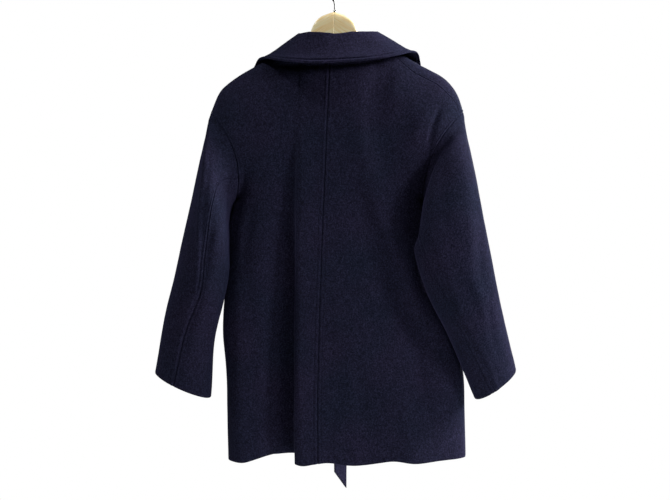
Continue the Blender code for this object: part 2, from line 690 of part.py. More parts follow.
def build_knot(wool):
    """A rounded block with one slanted turn of the belt raised round it."""
    middle, half_x, half_y, half_h = KNOT
    y = -BODY.at("front", BELT_HEIGHT) - 2 - half_y
    rings = []
    for share in np.linspace(-1, 1, 13):
        close = math.sqrt(max(0.0, 1 - abs(share) ** 3.2)) * 0.86 + 0.14
        ring_points = []
        for j in range(16):
            turn = 2 * math.pi * j / 16
            side_x = math.copysign(abs(math.cos(turn)) ** 0.7, math.cos(turn))
            side_y = math.copysign(abs(math.sin(turn)) ** 0.7, math.sin(turn))
            raised = 1 + 0.09 * math.exp(-(((share - 0.35 * side_x) / 0.42) ** 2))
            ring_points.append([
                middle + half_x * side_x * close, y + half_y * side_y * close * raised,
                BELT_HEIGHT + half_h * share + 1.5 * side_x])
        rings.append(ring_points)
    capped_tube("belt_knot", rings, wool)


def build_buttons(horn):
    """Buttons on the middle front: a turned disc with a rim, on a short shank that stops above the cloth."""
    for number, height in enumerate(BUTTON_HEIGHTS, start=1):
        cloth = surface_at("right", "front", 0.0, height)
        profile = [(3.0, 0.6), (3.4, 2.2), (BUTTON_RADIUS - 1, 2.2), (BUTTON_RADIUS, 3.4),
                   (BUTTON_RADIUS - 0.8, 4.8), (BUTTON_RADIUS - 3, 4.8), (BUTTON_RADIUS - 4, 4.0)]
        rings = [
            [cloth + [radius * math.cos(t), -off, radius * math.sin(t)]
             for t in np.linspace(0, 2 * math.pi, 20, endpoint=False)]
            for radius, off in profile
        ]
        capped_tube(f"button_{number}", rings, horn)


# --- Hanger ---------------------------------------------------------------------------------------


def hanger_section(side, out, ratio=1.0):
    """A rounded upright section of a wooden arm."""
    sign = sign_of(side)
    top, under, y = (HANGER.at(c, out) for c in ("top", "under", "y"))
    middle, half = (top + under) / 2, (top - under) / 2
    points = []
    for j in range(12):
        turn = 2 * math.pi * (j + 0.5) / 12
        deep = math.copysign(abs(math.cos(turn)) ** 0.6, math.cos(turn)) * HANGER_THICK / 2 * ratio
        tall = math.copysign(abs(math.sin(turn)) ** 0.45, math.sin(turn)) * half * ratio
        points.append([HANGER_MIDDLE + sign * out, y + deep, middle + tall - HANGER_ROLL * sign * out])
    return points


def build_hanger(wood, steel):
    outs = [SEAM / 2, 10, 19, 27, 33, 38, 41.5, 44, 47, 51, 57, 66, 80, 100, 125, 150, 175, 194, 205]
    for side in ("left", "right"):
        rings = [hanger_section(side, out) for out in outs]
        rings += [hanger_section(side, 210, 0.86), hanger_section(side, 213.5, 0.6)]
        capped_tube(f"hanger_arm_{side}", rings, wood)
    build_hook(steel)


def build_hook(steel):
    """A wire that rises from the wood, sweeps out and turns over the rail."""
    y = HANGER.at("y", 0)
    centre = HOOK_HEIGHT + WIRE - HOOK_RADIUS
    line = [(0, 906.6), (0, 914), (0, 922), (1.5, 929), (6, 935), (12, 939)]
    for degrees in np.linspace(-50, 205, 26):
        turn = math.radians(degrees)
        line.append((HOOK_RADIUS * math.cos(turn), centre + HOOK_RADIUS * math.sin(turn)))
    path = np.array(line)
    ways = np.gradient(path, axis=0)
    ways /= np.linalg.norm(ways, axis=1, keepdims=True)
    rings = []
    for (x, height), (way_x, way_h) in zip(path, ways):
        ring_points = []
        for turn in np.linspace(0, 2 * math.pi, 8, endpoint=False):
            side_way, depth = WIRE * math.cos(turn), WIRE * math.sin(turn)
            ring_points.append([x - way_h * side_way, y + depth, height + way_x * side_way])
        rings.append(ring_points)
    capped_tube("hanger_hook", rings, steel)


# --- Start ----------------------------------------------------------------------------------------


def clear_scene():
    for old in list(bpy.data.objects):
        bpy.data.objects.remove(old, do_unlink=True)


def main():
    clear_scene()
    wool = material("navy wool", (0.009, 0.009, 0.020), 0.95)
    build_body(wool)
    for side in ("left", "right"):
        build_sleeve(side, wool)
        build_lapel(side, wool)
    build_collar(wool)
    for side in ("left", "right"):
        belt_stretch(side, wool)
    belt_end("belt_end_long", LONG_END, wool)
    belt_end("belt_end_short", SHORT_END, wool)
    build_knot(wool)
    build_buttons(material("dark horn", (0.012, 0.011, 0.013), 0.35))
    wood = material("pale varnished beech", (0.80, 0.60, 0.33), 0.4)
    build_hanger(wood, material("plated steel wire", (0.72, 0.72, 0.70), 0.25, 1.0))


main()
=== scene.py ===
"""A short navy wool chesterfield coat on a wooden hanger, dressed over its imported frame.

Cloth is worked out in millimetres: x to the wearer's left, y to the coat's back, heights above the hem.
place() turns that into the frame's metres, where the origin is the rail inside the hook.
"""

import bisect
import functools
import math

import bmesh
import bpy
import numpy as np
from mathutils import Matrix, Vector, noise


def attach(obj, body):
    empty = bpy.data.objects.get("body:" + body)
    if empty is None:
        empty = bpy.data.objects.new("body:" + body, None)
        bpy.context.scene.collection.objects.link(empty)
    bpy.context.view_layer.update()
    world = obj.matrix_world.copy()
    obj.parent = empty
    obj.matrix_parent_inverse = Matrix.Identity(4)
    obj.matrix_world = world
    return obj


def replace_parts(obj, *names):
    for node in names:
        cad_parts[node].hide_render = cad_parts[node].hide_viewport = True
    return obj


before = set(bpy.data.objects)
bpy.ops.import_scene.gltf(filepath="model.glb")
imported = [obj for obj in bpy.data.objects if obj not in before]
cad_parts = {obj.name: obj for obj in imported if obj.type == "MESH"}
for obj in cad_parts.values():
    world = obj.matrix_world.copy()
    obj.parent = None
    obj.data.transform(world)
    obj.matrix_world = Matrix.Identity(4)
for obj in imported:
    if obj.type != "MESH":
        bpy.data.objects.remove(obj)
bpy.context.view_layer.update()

bl_info = {
    "name": "Chesterfield Coat",
    "version": (1, 0, 0),
    "blender": (4, 5, 0),
    "location": "View3D > Sidebar > Coat",
    "description": "Makes a short wool coat hanging on a wooden hanger",
    "category": "Add Mesh",
}

# The sizes and surfaces that the solids of the frame were made from, down to lapel_point(): the dressed
# coat lies on them, because the solids' own faces are too large to carry its creases
HOOK_HEIGHT = 984.0
ARMPIT = 532.0
BREAK = 500.0  # where the roll line of the lapels starts
GORGE = 766.0  # where the collar meets the lapels on the roll line
SEAM = 0.4  # the gap between two panels
OVERLAP = 38.0  # how far a front's edge lies past the coat's middle
NECK_SHARE = 0.31  # the share of a back panel's top edge that is neckline
SHOULDER_ROUND = 3.0  # how late the cloth turns over a shoulder
RIGHT_SEAM_BEHIND = 0.085  # how far the right shoulder seam lies behind, as a share of the rise
BELT_HEIGHT = 430.0
BELT_WIDTH = 44.0
KNOT = (-8.0, 22.0, 13.0, 25.0)  # x of its middle, half-width, half-depth and half-height
BUTTON_HEIGHTS = (488.0, 338.0, 188.0)
COLLAR_FOLD = 4.6  # the radius that the collar and the lapels turn over with
TURN_ROWS = 0.4  # the share of their rows that lies in that turn
STAND_ROWS = 0.3  # the share of the turn's rows that stands up from the seam
NOTCH = (124.0, 735.0)  # x and height of the corner between collar and lapel
SHOULDER_GAP = {"left": 0.00003, "right": 0.0018}  # the seam's gap as a share of the rise
SLEEVE_START = 0.0025  # the gap at the armhole as a share of the sleeve's length
SEAM_DEGREES = 0.3  # half the gap of a sleeve's long seam, in degrees round it
LEFT_UNDER = (7.0, 12.0)  # how far the left front lies under the right one, below the break and above
SIDES = ("left", "right")


class Table:
    """Rows of sizes under named columns, read on a smooth curve along the first column."""

    def __init__(self, columns, rows):
        values = np.array(rows, float)
        self.names = columns.split()
        self.keys = values[:, 0].tolist()
        self.values = values.T.tolist()
        self.slopes = np.gradient(values, values[:, 0], axis=0).T.tolist()

    def at(self, column, key):
        keys = self.keys
        c = self.names.index(column)
        key = min(max(key, keys[0]), keys[-1])
        i = min(bisect.bisect_right(keys, key) - 1, len(keys) - 2)
        span = keys[i + 1] - keys[i]
        u = (key - keys[i]) / span
        value, slope = self.values[c], self.slopes[c]
        start = (2 * u**3 - 3 * u**2 + 1) * value[i] + (u**3 - 2 * u**2 + u) * span * slope[i]
        return start + (3 * u**2 - 2 * u**3) * value[i + 1] + (u**3 - u**2) * span * slope[i + 1]


def lines(columns, rows):
    """Folds or creases: each one's half-width, or its two to the wearer's right and left, and its way."""
    return [(half if isinstance(half, tuple) else (half, half), Table(columns, way)) for half, way in rows]


# Half-widths and depths of the body's sections, and how square their corners are (1 is an ellipse)
BODY = Table(
    "height  left  right  back  front  left_corner  right_corner",
    [
        (0, 212, 260, 72, 104, 0.66, 0.66),
        (100, 214, 258, 70, 100, 0.66, 0.68),
        (190, 217, 255, 67, 95, 0.66, 0.72),
        (270, 223, 240, 64, 88, 0.68, 0.80),
        (350, 219, 215, 61, 80, 0.68, 0.86),
        (430, 212, 190, 58, 75, 0.67, 0.88),
        (500, 205, 181, 54, 76, 0.66, 0.88),
        (ARMPIT, 197, 184, 52, 76, 0.66, 0.90),
    ],
)
MIDDLE_SEAM = Table(
    "height  x",
    [(0, 34), (130, 35), (230, 33), (360, 29), (486, 25), (575, 21), (709, 17), (830, 10)],
)
# How far the hem rises and falls, by x
HEMS = {
    "back": Table("x  lift", [
        (-258, 22), (-210, 20), (-156, 16), (-113, 20), (-78, 15), (-54, 12), (-25, 12), (2, 16), (19, 17),
        (45, 14), (62, 12), (76, 14), (84, 16), (92, 22), (98, 28), (110, 30), (140, 28), (156, 22),
        (176, 15), (212, 16)]),
    "front": Table("x  lift", [(-258, 22), (-150, 16), (-60, 11), (60, 11), (150, 14), (212, 14)]),
}
# The shoulder line, from the side of the neck to the top of the armhole
SHOULDER = Table(
    "share  left  right  height_left  height_right  y",
    [
        (0.00, 70, 84, 834, 842, 2),
        (0.25, 116, 128, 820, 827, -3),
        (0.50, 160, 172, 800, 803, -8),
        (0.72, 206, 222, 772, 775, -11),
        (0.87, 232, 245, 747, 745, -11),
        (1.00, 249, 257, 706, 708, -8),
    ],
)
# Folds: half-widths right and left of the valley, where it runs, how deep it is (below 0 for a ridge) and
# how far its left side tucks in behind its right side
BACK_FOLDS = lines("height  x  depth  tuck", [
    ((17, 36), [
        (0, 111, 46, 26), (60, 114, 44, 25), (120, 116, 41, 24), (240, 114, 35, 20), (360, 108, 26, 13),
        (480, 98, 15, 5), (560, 92, 8, 1), (640, 87, 3, 0), (690, 85, 0, 0)]),
    (28, [
        (60, -172, 0, 0), (160, -172, 6, 0), (232, -166, 10, 0), (262, -160, 10, 0), (322, -124, 8, 0),
        (382, -98, 7, 0), (452, -66, 7, 0), (532, -50, 5, 0), (600, -42, 0, 0)]),
    (26, [
        (240, -200, 0, 0), (262, -194, -5, 0), (322, -162, -6, 0), (382, -130, -6, 0), (442, -114, -7, 0),
        (532, -82, -7, 0), (600, -62, -5, 0), (660, -48, -2, 0), (700, -40, 0, 0)]),
    (46, [(0, -60, 7, 0), (120, -50, 4, 0), (220, -40, 0, 0), (320, -20, -5, 0), (420, -10, 0, 0)]),
    (38, [(0, -150, -8, 0), (110, -130, -7, 0), (210, -60, -4, 0), (300, -30, 0, 0)]),
    (24, [(0, 158, 7, 0), (140, 162, 5, 0), (300, 166, 4, 0), (420, 160, 0, 0)]),
])
FRONT_FOLDS = lines("height  x  depth  tuck", [
    (26, [
        (0, 128, 26, 0), (150, 124, 20, 0), (300, 116, 12, 0), (BELT_HEIGHT, 104, 8, 0), (560, 118, 3, 0),
        (640, 124, 0, 0)]),
    (28, [
        (0, -146, 30, 0), (150, -140, 23, 0), (300, -126, 14, 0), (BELT_HEIGHT, -108, 9, 0),
        (560, -120, 3, 0), (640, -124, 0, 0)]),
    (20, [(180, 70, 0, 0), (300, 62, 5, 0), (BELT_HEIGHT, 56, 8, 0), (500, 66, 0, 0)]),
    (20, [(160, -76, 0, 0), (300, -66, 5, 0), (BELT_HEIGHT, -58, 8, 0), (510, -70, 0, 0)]),
])
# Sleeves: outer and inner edge of the ring at each share of the length, its middle and its half-depths.
# bow moves its front and back towards the body, lean only its back, tilt raises its back as the sleeve
# swings behind the body, and dip lets front and back hang lower
SLEEVES = {
    "left": Table(
        "share  outer_x  outer_h  inner_x  inner_h  y  back  front  bow  lean  tilt  dip",
        [
            (0.00, 249, 706, 197, 532, -4, 52, 54, -26, 0, 0.00, 0),
            (0.03, 251, 694, 201, 523, -3, 53, 55, -23, 0, 0.05, 0),
            (0.07, 254, 678, 206, 511, 3, 55, 57, -18, 0, 0.20, 0),
            (0.12, 257, 658, 209, 496, 14, 57, 58, -12, 0, 0.30, 0),
            (0.28, 269, 592, 208, 450, 40, 58, 56, -3, 0, 0.22, 0),
            (0.48, 293, 482, 209, 384, 45, 54, 52, 0, 0, 0.00, 0),
            (0.64, 314, 392, 220, 328, 38, 51, 50, 0, 0, -0.10, 0),
            (0.78, 336, 306, 237, 262, 24, 46, 47, 0, 0, -0.15, 1),
            (1.00, 359, 189, 247, 140, 10, 40, 40, 0, 0, -0.05, 5),
        ],
    ),
    "right": Table(
        "share  outer_x  outer_h  inner_x  inner_h  y  back  front  bow  lean  tilt  dip",
        [
            (0.00, 257, 708, 184, 532, -4, 52, 54, -28, 0, 0.00, 0),
            (0.03, 258, 695, 187, 523, -3, 53, 54, -24, 2, 0.03, 0),
            (0.07, 260, 678, 190, 511, 2, 54, 53, -16, 10, 0.16, 0),
            (0.12, 263, 656, 190, 495, 13, 56, 50, -6, 24, 0.38, 0),
            (0.28, 274, 586, 165, 453, 50, 50, 42, 0, 8, 0.62, 0),
            (0.48, 293, 474, 156, 420, 72, 46, 40, 0, 0, 0.10, 0),
            (0.64, 313, 372, 180, 345, 70, 46, 38, 0, 0, -0.15, 0),
            (0.80, 335, 282, 222, 264, 50, 44, 40, 0, 0, -0.25, 1),
            (1.00, 358, 196, 276, 139, 26, 40, 38, 0, 0, -0.10, 5),
        ],
    ),
}
# Where the two sleeve seams run, in degrees round the ring: 0 outer edge, 90 back, 180 inner, 270 front
SLEEVE_SEAMS = {
    "left": Table("share  hind  fore", [
        (0.0, 120, 242), (0.3, 92, 245), (0.5, 92, 250), (0.64, 98, 252), (0.78, 86, 254), (1.0, 74, 256)]),
    "right": Table("share  hind  fore", [
        (0.0, 150, 250), (0.3, 150, 256), (0.5, 138, 262), (0.64, 124, 266), (0.8, 118, 268),
        (1.0, 106, 270)]),
}
# The collar from the back's middle (0) past the side of the neck (0.5) to its front end (1): how high it
# stands, how far it turns over, where its edge lies and which way its outside faces at the neck
COLLAR = {
    "left": Table("share  stand  turn  edge_x  edge_y  edge_h  out_x  out_y  out_h", [
        (0.00, 33, 158, -6, 74, 793, 0, 1, 0), (0.20, 32, 156, 60, 71, 792, 0.25, 1, 0),
        (0.38, 30, 135, 116, 50, 800, 0.8, 0.7, 0), (0.52, 27, 120, 148, 12, 813, 1, -0.1, 0.05),
        (0.70, 18, 135, 163, -40, 803, 0.7, -0.8, 0.3), (0.85, 10, 165, 168, -74, 780, 0.4, -0.9, 0.25),
        (1.00, 5, 180, 161, -88, 757, 0.2, -1, 0.1)]),
    "right": Table("share  stand  turn  edge_x  edge_y  edge_h  out_x  out_y  out_h", [
        (0.00, 33, 158, -6, 74, 793, 0, 1, 0), (0.20, 31, 156, -74, 71, 798, -0.25, 1, 0),
        (0.38, 27, 132, -126, 50, 810, -0.8, 0.7, 0), (0.52, 22, 114, -160, 12, 826, -1, -0.1, 0.05),
        (0.70, 15, 130, -172, -40, 814, -0.7, -0.8, 0.3), (0.85, 9, 165, -170, -74, 786, -0.4, -0.9, 0.25),
        (1.00, 5, 180, -161, -88, 759, -0.2, -1, 0.1)]),
}
LAPEL = Table("share  roll_h  edge_x  edge_h", [
    (0.0, 508, -20, 514), (0.2, 560, 30, 560), (0.5, 636, 92, 630), (0.8, 716, 138, 690),
    (1.0, GORGE - 1.6, 154, 716)])
LONG_END = Table("share  x  height  off  twist  slant", [
    (0.0, -12, 402, 9, 0, 0), (0.15, -12, 345, 11, 2, 0), (0.48, -11, 190, 14, 8, 0),
    (0.7, -10, 85, 21, 35, 0), (0.85, -10, 8, 25, 52, 4), (0.93, -10, -26, 26, 55, 12),
    (1.0, -10, -50, 26, 56, 20)])
SHORT_END = Table("share  x  height  off  twist  slant", [
    (0.0, 2, 402, 16, 0, 0), (0.2, 12, 340, 18, -2, 0), (0.6, 26, 190, 20, -4, 0), (0.9, 34, 75, 18, -6, 0),
    (1.0, 36, 44, 17, -6, 16)])


def smoothstep(value, low, high):
    """A smooth step from 0 at low to 1 at high."""
    u = min(max((value - low) / (high - low), 0.0), 1.0)
    return u * u * (3 - 2 * u)


def mix(a, b, share):
    return a + (b - a) * share


def unit(vector):
    return vector / np.linalg.norm(vector)


def sign_of(side):
    return 1.0 if side == "left" else -1.0


def ring(height, degrees):
    """The section at a height: 0 degrees is the back's middle, 90 the left side and 180 the front."""
    across = np.sin(np.radians(degrees))
    through = np.cos(np.radians(degrees))
    left = across >= 0
    corner = np.where(left, BODY.at("left_corner", height), BODY.at("right_corner", height))
    half = np.where(left, BODY.at("left", height), BODY.at("right", height))
    deep = np.where(through >= 0, BODY.at("back", height), BODY.at("front", height))
    x = np.sign(across) * half * np.abs(across) ** corner
    y = np.sign(through) * deep * np.abs(through) ** corner
    return x, y


def ring_angle(height, x):
    """How far, in degrees from the middle, the section reaches x."""
    side = "left" if x >= 0 else "right"
    corner = BODY.at(side + "_corner", height)
    return math.copysign(math.degrees(math.asin((abs(x) / BODY.at(side, height)) ** (1 / corner))), x)


def inner_edge(side, height):
    """x of a front's free edge, and above the break of the roll line, which runs on to the neck."""
    sign = sign_of(side)
    climbed = max(0.0, height - BREAK) / (SHOULDER.at("height_" + side, 0) - BREAK)
    return mix(-sign * OVERLAP, sign * SHOULDER.at(side, 0), climbed)


@functools.lru_cache(maxsize=None)
def panel_section(side, face, height):
    """One panel's section as distances walked from its middle seam or free edge, with x and y."""
    if face == "back":
        start = ring_angle(height, MIDDLE_SEAM.at("x", height))
        end = 90 if side == "left" else -90
    else:
        start = 180 - ring_angle(height, inner_edge(side, height))
        end = 90 if side == "left" else 270
    x, y = ring(height, np.linspace(start, end, 181))
    walked = np.concatenate([[0], np.cumsum(np.hypot(np.diff(x), np.diff(y)))])
    return walked, x, y


def along_ring(side, face, height, share):
    """A point of one panel's section: share 0 is its middle seam or free edge and 1 its side seam."""
    walked, x, y = panel_section(side, face, height)
    where = SEAM / 2 + share * (walked[-1] - SEAM)
    return float(np.interp(where, walked, x)), float(np.interp(where, walked, y))


def folded(face, x, y, height):
    """Moves a point of the plain surface into the folds: inwards, and sideways where a fold tucks."""
    inward = -1.0 if face == "back" else 1.0
    moved_x, moved_y = x, y
    for (right, left), line in BACK_FOLDS if face == "back" else FRONT_FOLDS:
        if not line.keys[0] <= height <= line.keys[-1]:
            continue
        away = x - line.at("x", height)
        near = math.exp(-((away / (left if away > 0 else right)) ** 2))
        moved_y += inward * line.at("depth", height) * near
        moved_x -= line.at("tuck", height) * near
    return moved_x, moved_y


def sleeve_ring(side, share, degrees):
    """A point round a sleeve: 0 degrees at its outer edge, 90 behind, 180 at its inner edge."""
    sleeve = SLEEVES[side]
    turn = math.radians(degrees)
    along = (1 + math.cos(turn)) / 2
    x = mix(sleeve.at("inner_x", share), sleeve.at("outer_x", share), along)
    height = mix(sleeve.at("inner_h", share), sleeve.at("outer_h", share), along)
    depth = sleeve.at("back" if math.sin(turn) >= 0 else "front", share)
    x += math.sin(turn) ** 2 * sleeve.at("bow", share)
    x -= max(0.0, math.sin(turn)) ** 2 * sleeve.at("lean", share)
    height += sleeve.at("tilt", share) * math.sin(turn) * depth
    height -= abs(math.sin(turn)) * sleeve.at("dip", share)
    return np.array([sign_of(side) * x, sleeve.at("y", share) + math.sin(turn) * depth, height])


@functools.lru_cache(maxsize=None)
def top_line(side, face, share):
    """The panel's top edge: neckline and shoulder line on the back, shoulder line alone in front."""
    sign = sign_of(side)
    along = share
    if face == "back":
        along = (share - NECK_SHARE) / (1 - NECK_SHARE)
        if along < 0:
            turn = math.radians(90 * share / NECK_SHARE)
            neck = top_line(side, face, NECK_SHARE)
            x = mix(MIDDLE_SEAM.at("x", 830) + sign * SEAM / 2, neck[0], math.sin(turn))
            y = mix(neck[1], 46, math.cos(turn))
            return np.array([x, y, mix(826, neck[2], math.sin(turn) ** 4)])
    return np.array([
        sign * SHOULDER.at(side, along), SHOULDER.at("y", along), SHOULDER.at("height_" + side, along)])


def plain_upper(side, face, share, rise):
    """Above the armpit before the armhole pulls the panel: rise 0 is the armpit and 1 the top line."""
    ring_x, ring_y = along_ring(side, face, ARMPIT, share)
    middle_x, _ = along_ring(side, face, ARMPIT, 0)
    side_x, _ = along_ring(side, face, ARMPIT, 1)
    top = top_line(side, face, share)
    spread = mix(smoothstep(rise, 0, 1), math.sqrt(min(rise / 0.2, 1.0)), smoothstep(share, 0.75, 0.98))
    low_x = mix(ring_x, mix(middle_x, side_x, share), spread)
    over = math.sqrt(max(0.0, 1 - rise**SHOULDER_ROUND))
    return np.array([mix(low_x, top[0], rise), mix(top[1], ring_y, over), mix(ARMPIT, top[2], rise)])


def upper_body(side, face, share, rise):
    """Above the armpit, with its side edge drawn onto the head of the sleeve."""
    point = plain_upper(side, face, share, rise)
    turn = math.degrees(math.acos(min(max(1 - 2 * rise, -1.0), 1.0)))
    head = sleeve_ring(side, 0.0, 180 - turn if face == "back" else 180 + turn)
    away = head - plain_upper(side, face, 1, rise)
    _, full = along_ring(side, face, ARMPIT, 0.3)
    _, here = along_ring(side, face, ARMPIT, share)
    flat = min(max(1 - here / full, 0.0), 1.0)
    near_seam = smoothstep(share, 0.8, 1)
    point[1] += flat * away[1] * mix(smoothstep(rise, 0, 0.35), 1, near_seam)
    point[0] += share**3 * away[0]
    return point


def layer_shift(side, x, height):
    """How far the left front lies inside the body's surface, where the right front covers it."""
    if side == "right":
        return 0.0
    cover = inner_edge("right", height)
    depth = mix(*LEFT_UNDER, smoothstep(height, BREAK - 90, BREAK))
    return depth * (1 - smoothstep(x, cover + 20, cover + 66)) * (1 - smoothstep(height, 700, 800))


def body_point(side, face, share, level):
    """A point of the outer surface at a level: 0 is the hem, 1 the armpit and 2 the top line."""
    if level <= 1:
        height = level * ARMPIT
        x, y = along_ring(side, face, height, share)
    else:
        x, y, height = upper_body(side, face, share, level - 1)
    fold_x, fold_y = folded(face, x, y, height)
    open_cloth = 1 - smoothstep(share, 0.86, 1.0)
    lift = HEMS[face].at("lift", x) * (1 - smoothstep(height, 0, 130))
    x, y = mix(x, fold_x, open_cloth), mix(y, fold_y, open_cloth)
    if face == "front":
        y += layer_shift(side, x, height)
    return np.array([x, y, height + lift])


def level_of(side, face, share, height):
    """The level of a height, as body_point() takes it."""
    if height <= ARMPIT:
        return height / ARMPIT
    return 1 + (height - ARMPIT) / (top_line(side, face, share)[2] - ARMPIT)


def surface_at(side, face, x, height):
    """The outer surface's point at an x and a height, found by halving the share."""
    low, high = 0.0, 1.0
    for _ in range(18):
        share = (low + high) / 2
        point = body_point(side, face, share, level_of(side, face, share, height))
        if sign_of(side) * (x - point[0]) > 0:
            low = share
        else:
            high = share
    return point


def unit_rows(vectors):
    return vectors / np.linalg.norm(vectors, axis=-1, keepdims=True)


def ways_along(grid, axis):
    """The way the surface runs at each point, along the grid's rows or columns of uneven length."""
    steps = np.diff(np.moveaxis(grid, axis, 0), axis=0)
    lengths = np.linalg.norm(steps, axis=-1, keepdims=True)
    ways = steps / lengths
    inner = unit_rows(ways[:-1] * lengths[1:] + ways[1:] * lengths[:-1])
    first = unit_rows(2 * ways[:1] - inner[:1])
    last = unit_rows(2 * ways[-1:] - inner[-1:])
    return np.moveaxis(np.concatenate([first, inner, last]), 0, axis)


def normals_of(grid):
    return unit_rows(np.cross(ways_along(grid, 0), ways_along(grid, 1)))


def crowded(count, *places):
    """Shares from 0 to 1, closer together round each place, given as its centre, strength and reach."""
    fine = np.linspace(0, 1, 401)
    density = np.ones_like(fine)
    for centre, strength, reach in places:
        density += strength * np.exp(-(((fine - centre) / reach) ** 2))
    walked = np.concatenate([[0], np.cumsum((density[1:] + density[:-1]) / 2)])
    return np.interp(np.linspace(0, walked[-1], count), walked, fine)


def shoulder_seam(side, share):
    """The rise at which back and front meet. On the right the seam lies behind the shoulder's top."""
    behind = RIGHT_SEAM_BEHIND if side == "right" else 0.0
    return 1 - behind * mix(0.15, 1, smoothstep(share, 0.0, 0.5)) * (1 - 0.5 * smoothstep(share, 0.75, 1))


def over_shoulder(side, share, beyond):
    """A point of the front that has gone this much of the rise past the top, onto the back."""
    return body_point(side, "back", mix(NECK_SHARE, 1, share), 2 - beyond)


def roll_point(side, height):
    """A point of a front's edge on the roll line."""
    return body_point(side, "front", 0, level_of(side, "front", 0, height))


def neckline(side, share):
    """The seam that carries the collar: round the back of the neck, then down the roll line."""
    if share < 0.5:
        return top_line(side, "back", 2 * share * NECK_SHARE)
    return roll_point(side, mix(SHOULDER.at("height_" + side, 0), GORGE, 2 * share - 1))


def turned_start(base, along, out, stand, radius, turn, share):
    """The stretch that stands up from the seam and turns over by so many degrees: share runs from 0 to 1.

    It returns the point and the way that the cloth runs on from it.
    """
    up = unit(np.cross(along, out))
    centre = base + up * (SEAM + stand - radius) + out * (radius - cloth_wall())
    if share < STAND_ROWS:
        return mix(base + up * SEAM - out * cloth_wall(), centre - out * radius, share / STAND_ROWS), up
    angle = math.radians(turn) * (share - STAND_ROWS) / (1 - STAND_ROWS)
    point = centre + radius * (up * math.sin(angle) - out * math.cos(angle))
    return point, up * math.cos(angle) + out * math.sin(angle)


def collar_edge_on_front(side, share, along_row):
    """Where the collar's front end lies over the front: towards the notch first, then to its tip."""
    table = COLLAR[side]
    start = roll_point(side, mix(SHOULDER.at("height_" + side, 0), GORGE + 1.2 * SEAM, 2 * share - 1))
    tip = np.array([table.at("edge_x", share), 0, table.at("edge_h", share)])
    straight = mix(start, tip, along_row)
    notch = np.array([sign_of(side) * NOTCH[0], 0, NOTCH[1] + 1.2 * SEAM])
    if along_row < 0.7:
        bent = mix(start, notch, along_row / 0.7)
    else:
        bent = mix(notch, tip, (along_row - 0.7) / 0.3)
    x, _, height = mix(straight, bent, smoothstep(share, 0.8, 1))
    return surface_at(side, "front", x, height)


def collar_point(side, share, row):
    """A point of the collar: row 0 is the neck seam, TURN_ROWS the end of the turn and 1 the free edge."""
    table = COLLAR[side]
    base = neckline(side, share)
    step = 0.01
    along = neckline(side, min(share + step, 1)) - neckline(side, max(share - step, 0))
    out = unit(np.array([table.at(c, share) for c in ("out_x", "out_y", "out_h")]))
    out = unit(out - unit(along) * np.dot(out, unit(along)))
    stand, turn = table.at("stand", share), table.at("turn", share)
    base = base + 1.5 * smoothstep(share, 0.42, 0.5) * unit(np.cross(sign_of(side) * along, out))
    turned = min(row / TURN_ROWS, 1)
    start, fall = turned_start(base, sign_of(side) * along, out, stand, COLLAR_FOLD, turn, turned)
    if row <= TURN_ROWS:
        return start
    across = (row - TURN_ROWS) / (1 - TURN_ROWS)
    edge = np.array([table.at(c, share) for c in ("edge_x", "edge_y", "edge_h")])
    fall = fall * 0.35 * np.linalg.norm(edge - start)
    hanging = (1 - across) ** 2 * start + 2 * across * (1 - across) * (start + fall) + across**2 * edge
    on_front = smoothstep(share, 0.62, 0.9)
    if on_front == 0:
        return hanging
    lying = collar_edge_on_front(side, share, across) + out * (2 * COLLAR_FOLD - cloth_wall())
    return mix(hanging, lying, on_front)


def lapel_point(side, share, row):
    """A point of a lapel: share runs up the roll line, from the break to the gorge, and row out from it."""
    sign = sign_of(side)
    height = LAPEL.at("roll_h", share)
    base = roll_point(side, height)
    along = roll_point(side, height - 6) - roll_point(side, height + 6)
    out = unit(np.array([sign * 0.2, -1.0, 0.1]))
    out = unit(out - unit(along) * np.dot(out, unit(along)))
    if row <= TURN_ROWS:
        return turned_start(base, sign * along, out, COLLAR_FOLD + 1, COLLAR_FOLD, 180, row / TURN_ROWS)[0]
    across = (row - TURN_ROWS) / (1 - TURN_ROWS)
    x = mix(base[0], sign * LAPEL.at("edge_x", share), across)
    lying = surface_at(side, "front", x, mix(height, LAPEL.at("edge_h", share), across))
    return lying + out * (2 * COLLAR_FOLD - cloth_wall())


# --- Cloth as meshes ------------------------------------------------------------------------------


def sizes():
    return bpy.context.scene.chesterfield_sizes


def colours():
    return bpy.context.scene.chesterfield_colours


@functools.lru_cache(maxsize=None)
def cloth_wall():
    """The coat's cloth, its thickness in millimetres."""
    return sizes().cloth * 1000


def place(points):
    """Points of the coat in millimetres as the frame's own metres."""
    return (np.asarray(points, float) - [0, 0, HOOK_HEIGHT]) / 1000


def resample(values, old, new):
    """Rows of points known at the places old, read at the places new on a smooth curve."""
    old, new = np.asarray(old, float), np.asarray(new, float)
    slopes = np.gradient(values, old, axis=0)
    i = np.clip(np.searchsorted(old, new, side="right") - 1, 0, len(old) - 2)
    span = (old[i + 1] - old[i])[:, None, None]
    u = (new - old[i])[:, None, None] / span
    start = (2 * u**3 - 3 * u**2 + 1) * values[i] + (u**3 - 2 * u**2 + u) * span * slopes[i]
    return start + (3 * u**2 - 2 * u**3) * values[i + 1] + (u**3 - u**2) * span * slopes[i + 1]


def resample_both(grid, rows, new_rows, columns, new_columns):
    tall = resample(np.asarray(grid, float), rows, new_rows)
    return resample(tall.swapaxes(0, 1), columns, new_columns).swapaxes(0, 1)


# How far in from an edge the extra points lie that give its seam a groove, a welt and stitches
SEAM_STEPS = np.array([0.5, 1.1, 1.8, 2.8, 4.2, 5.8, 6.5, 7.2, 8.2, 10.0, 13.0])
SEAM_CLEAR = 15.0


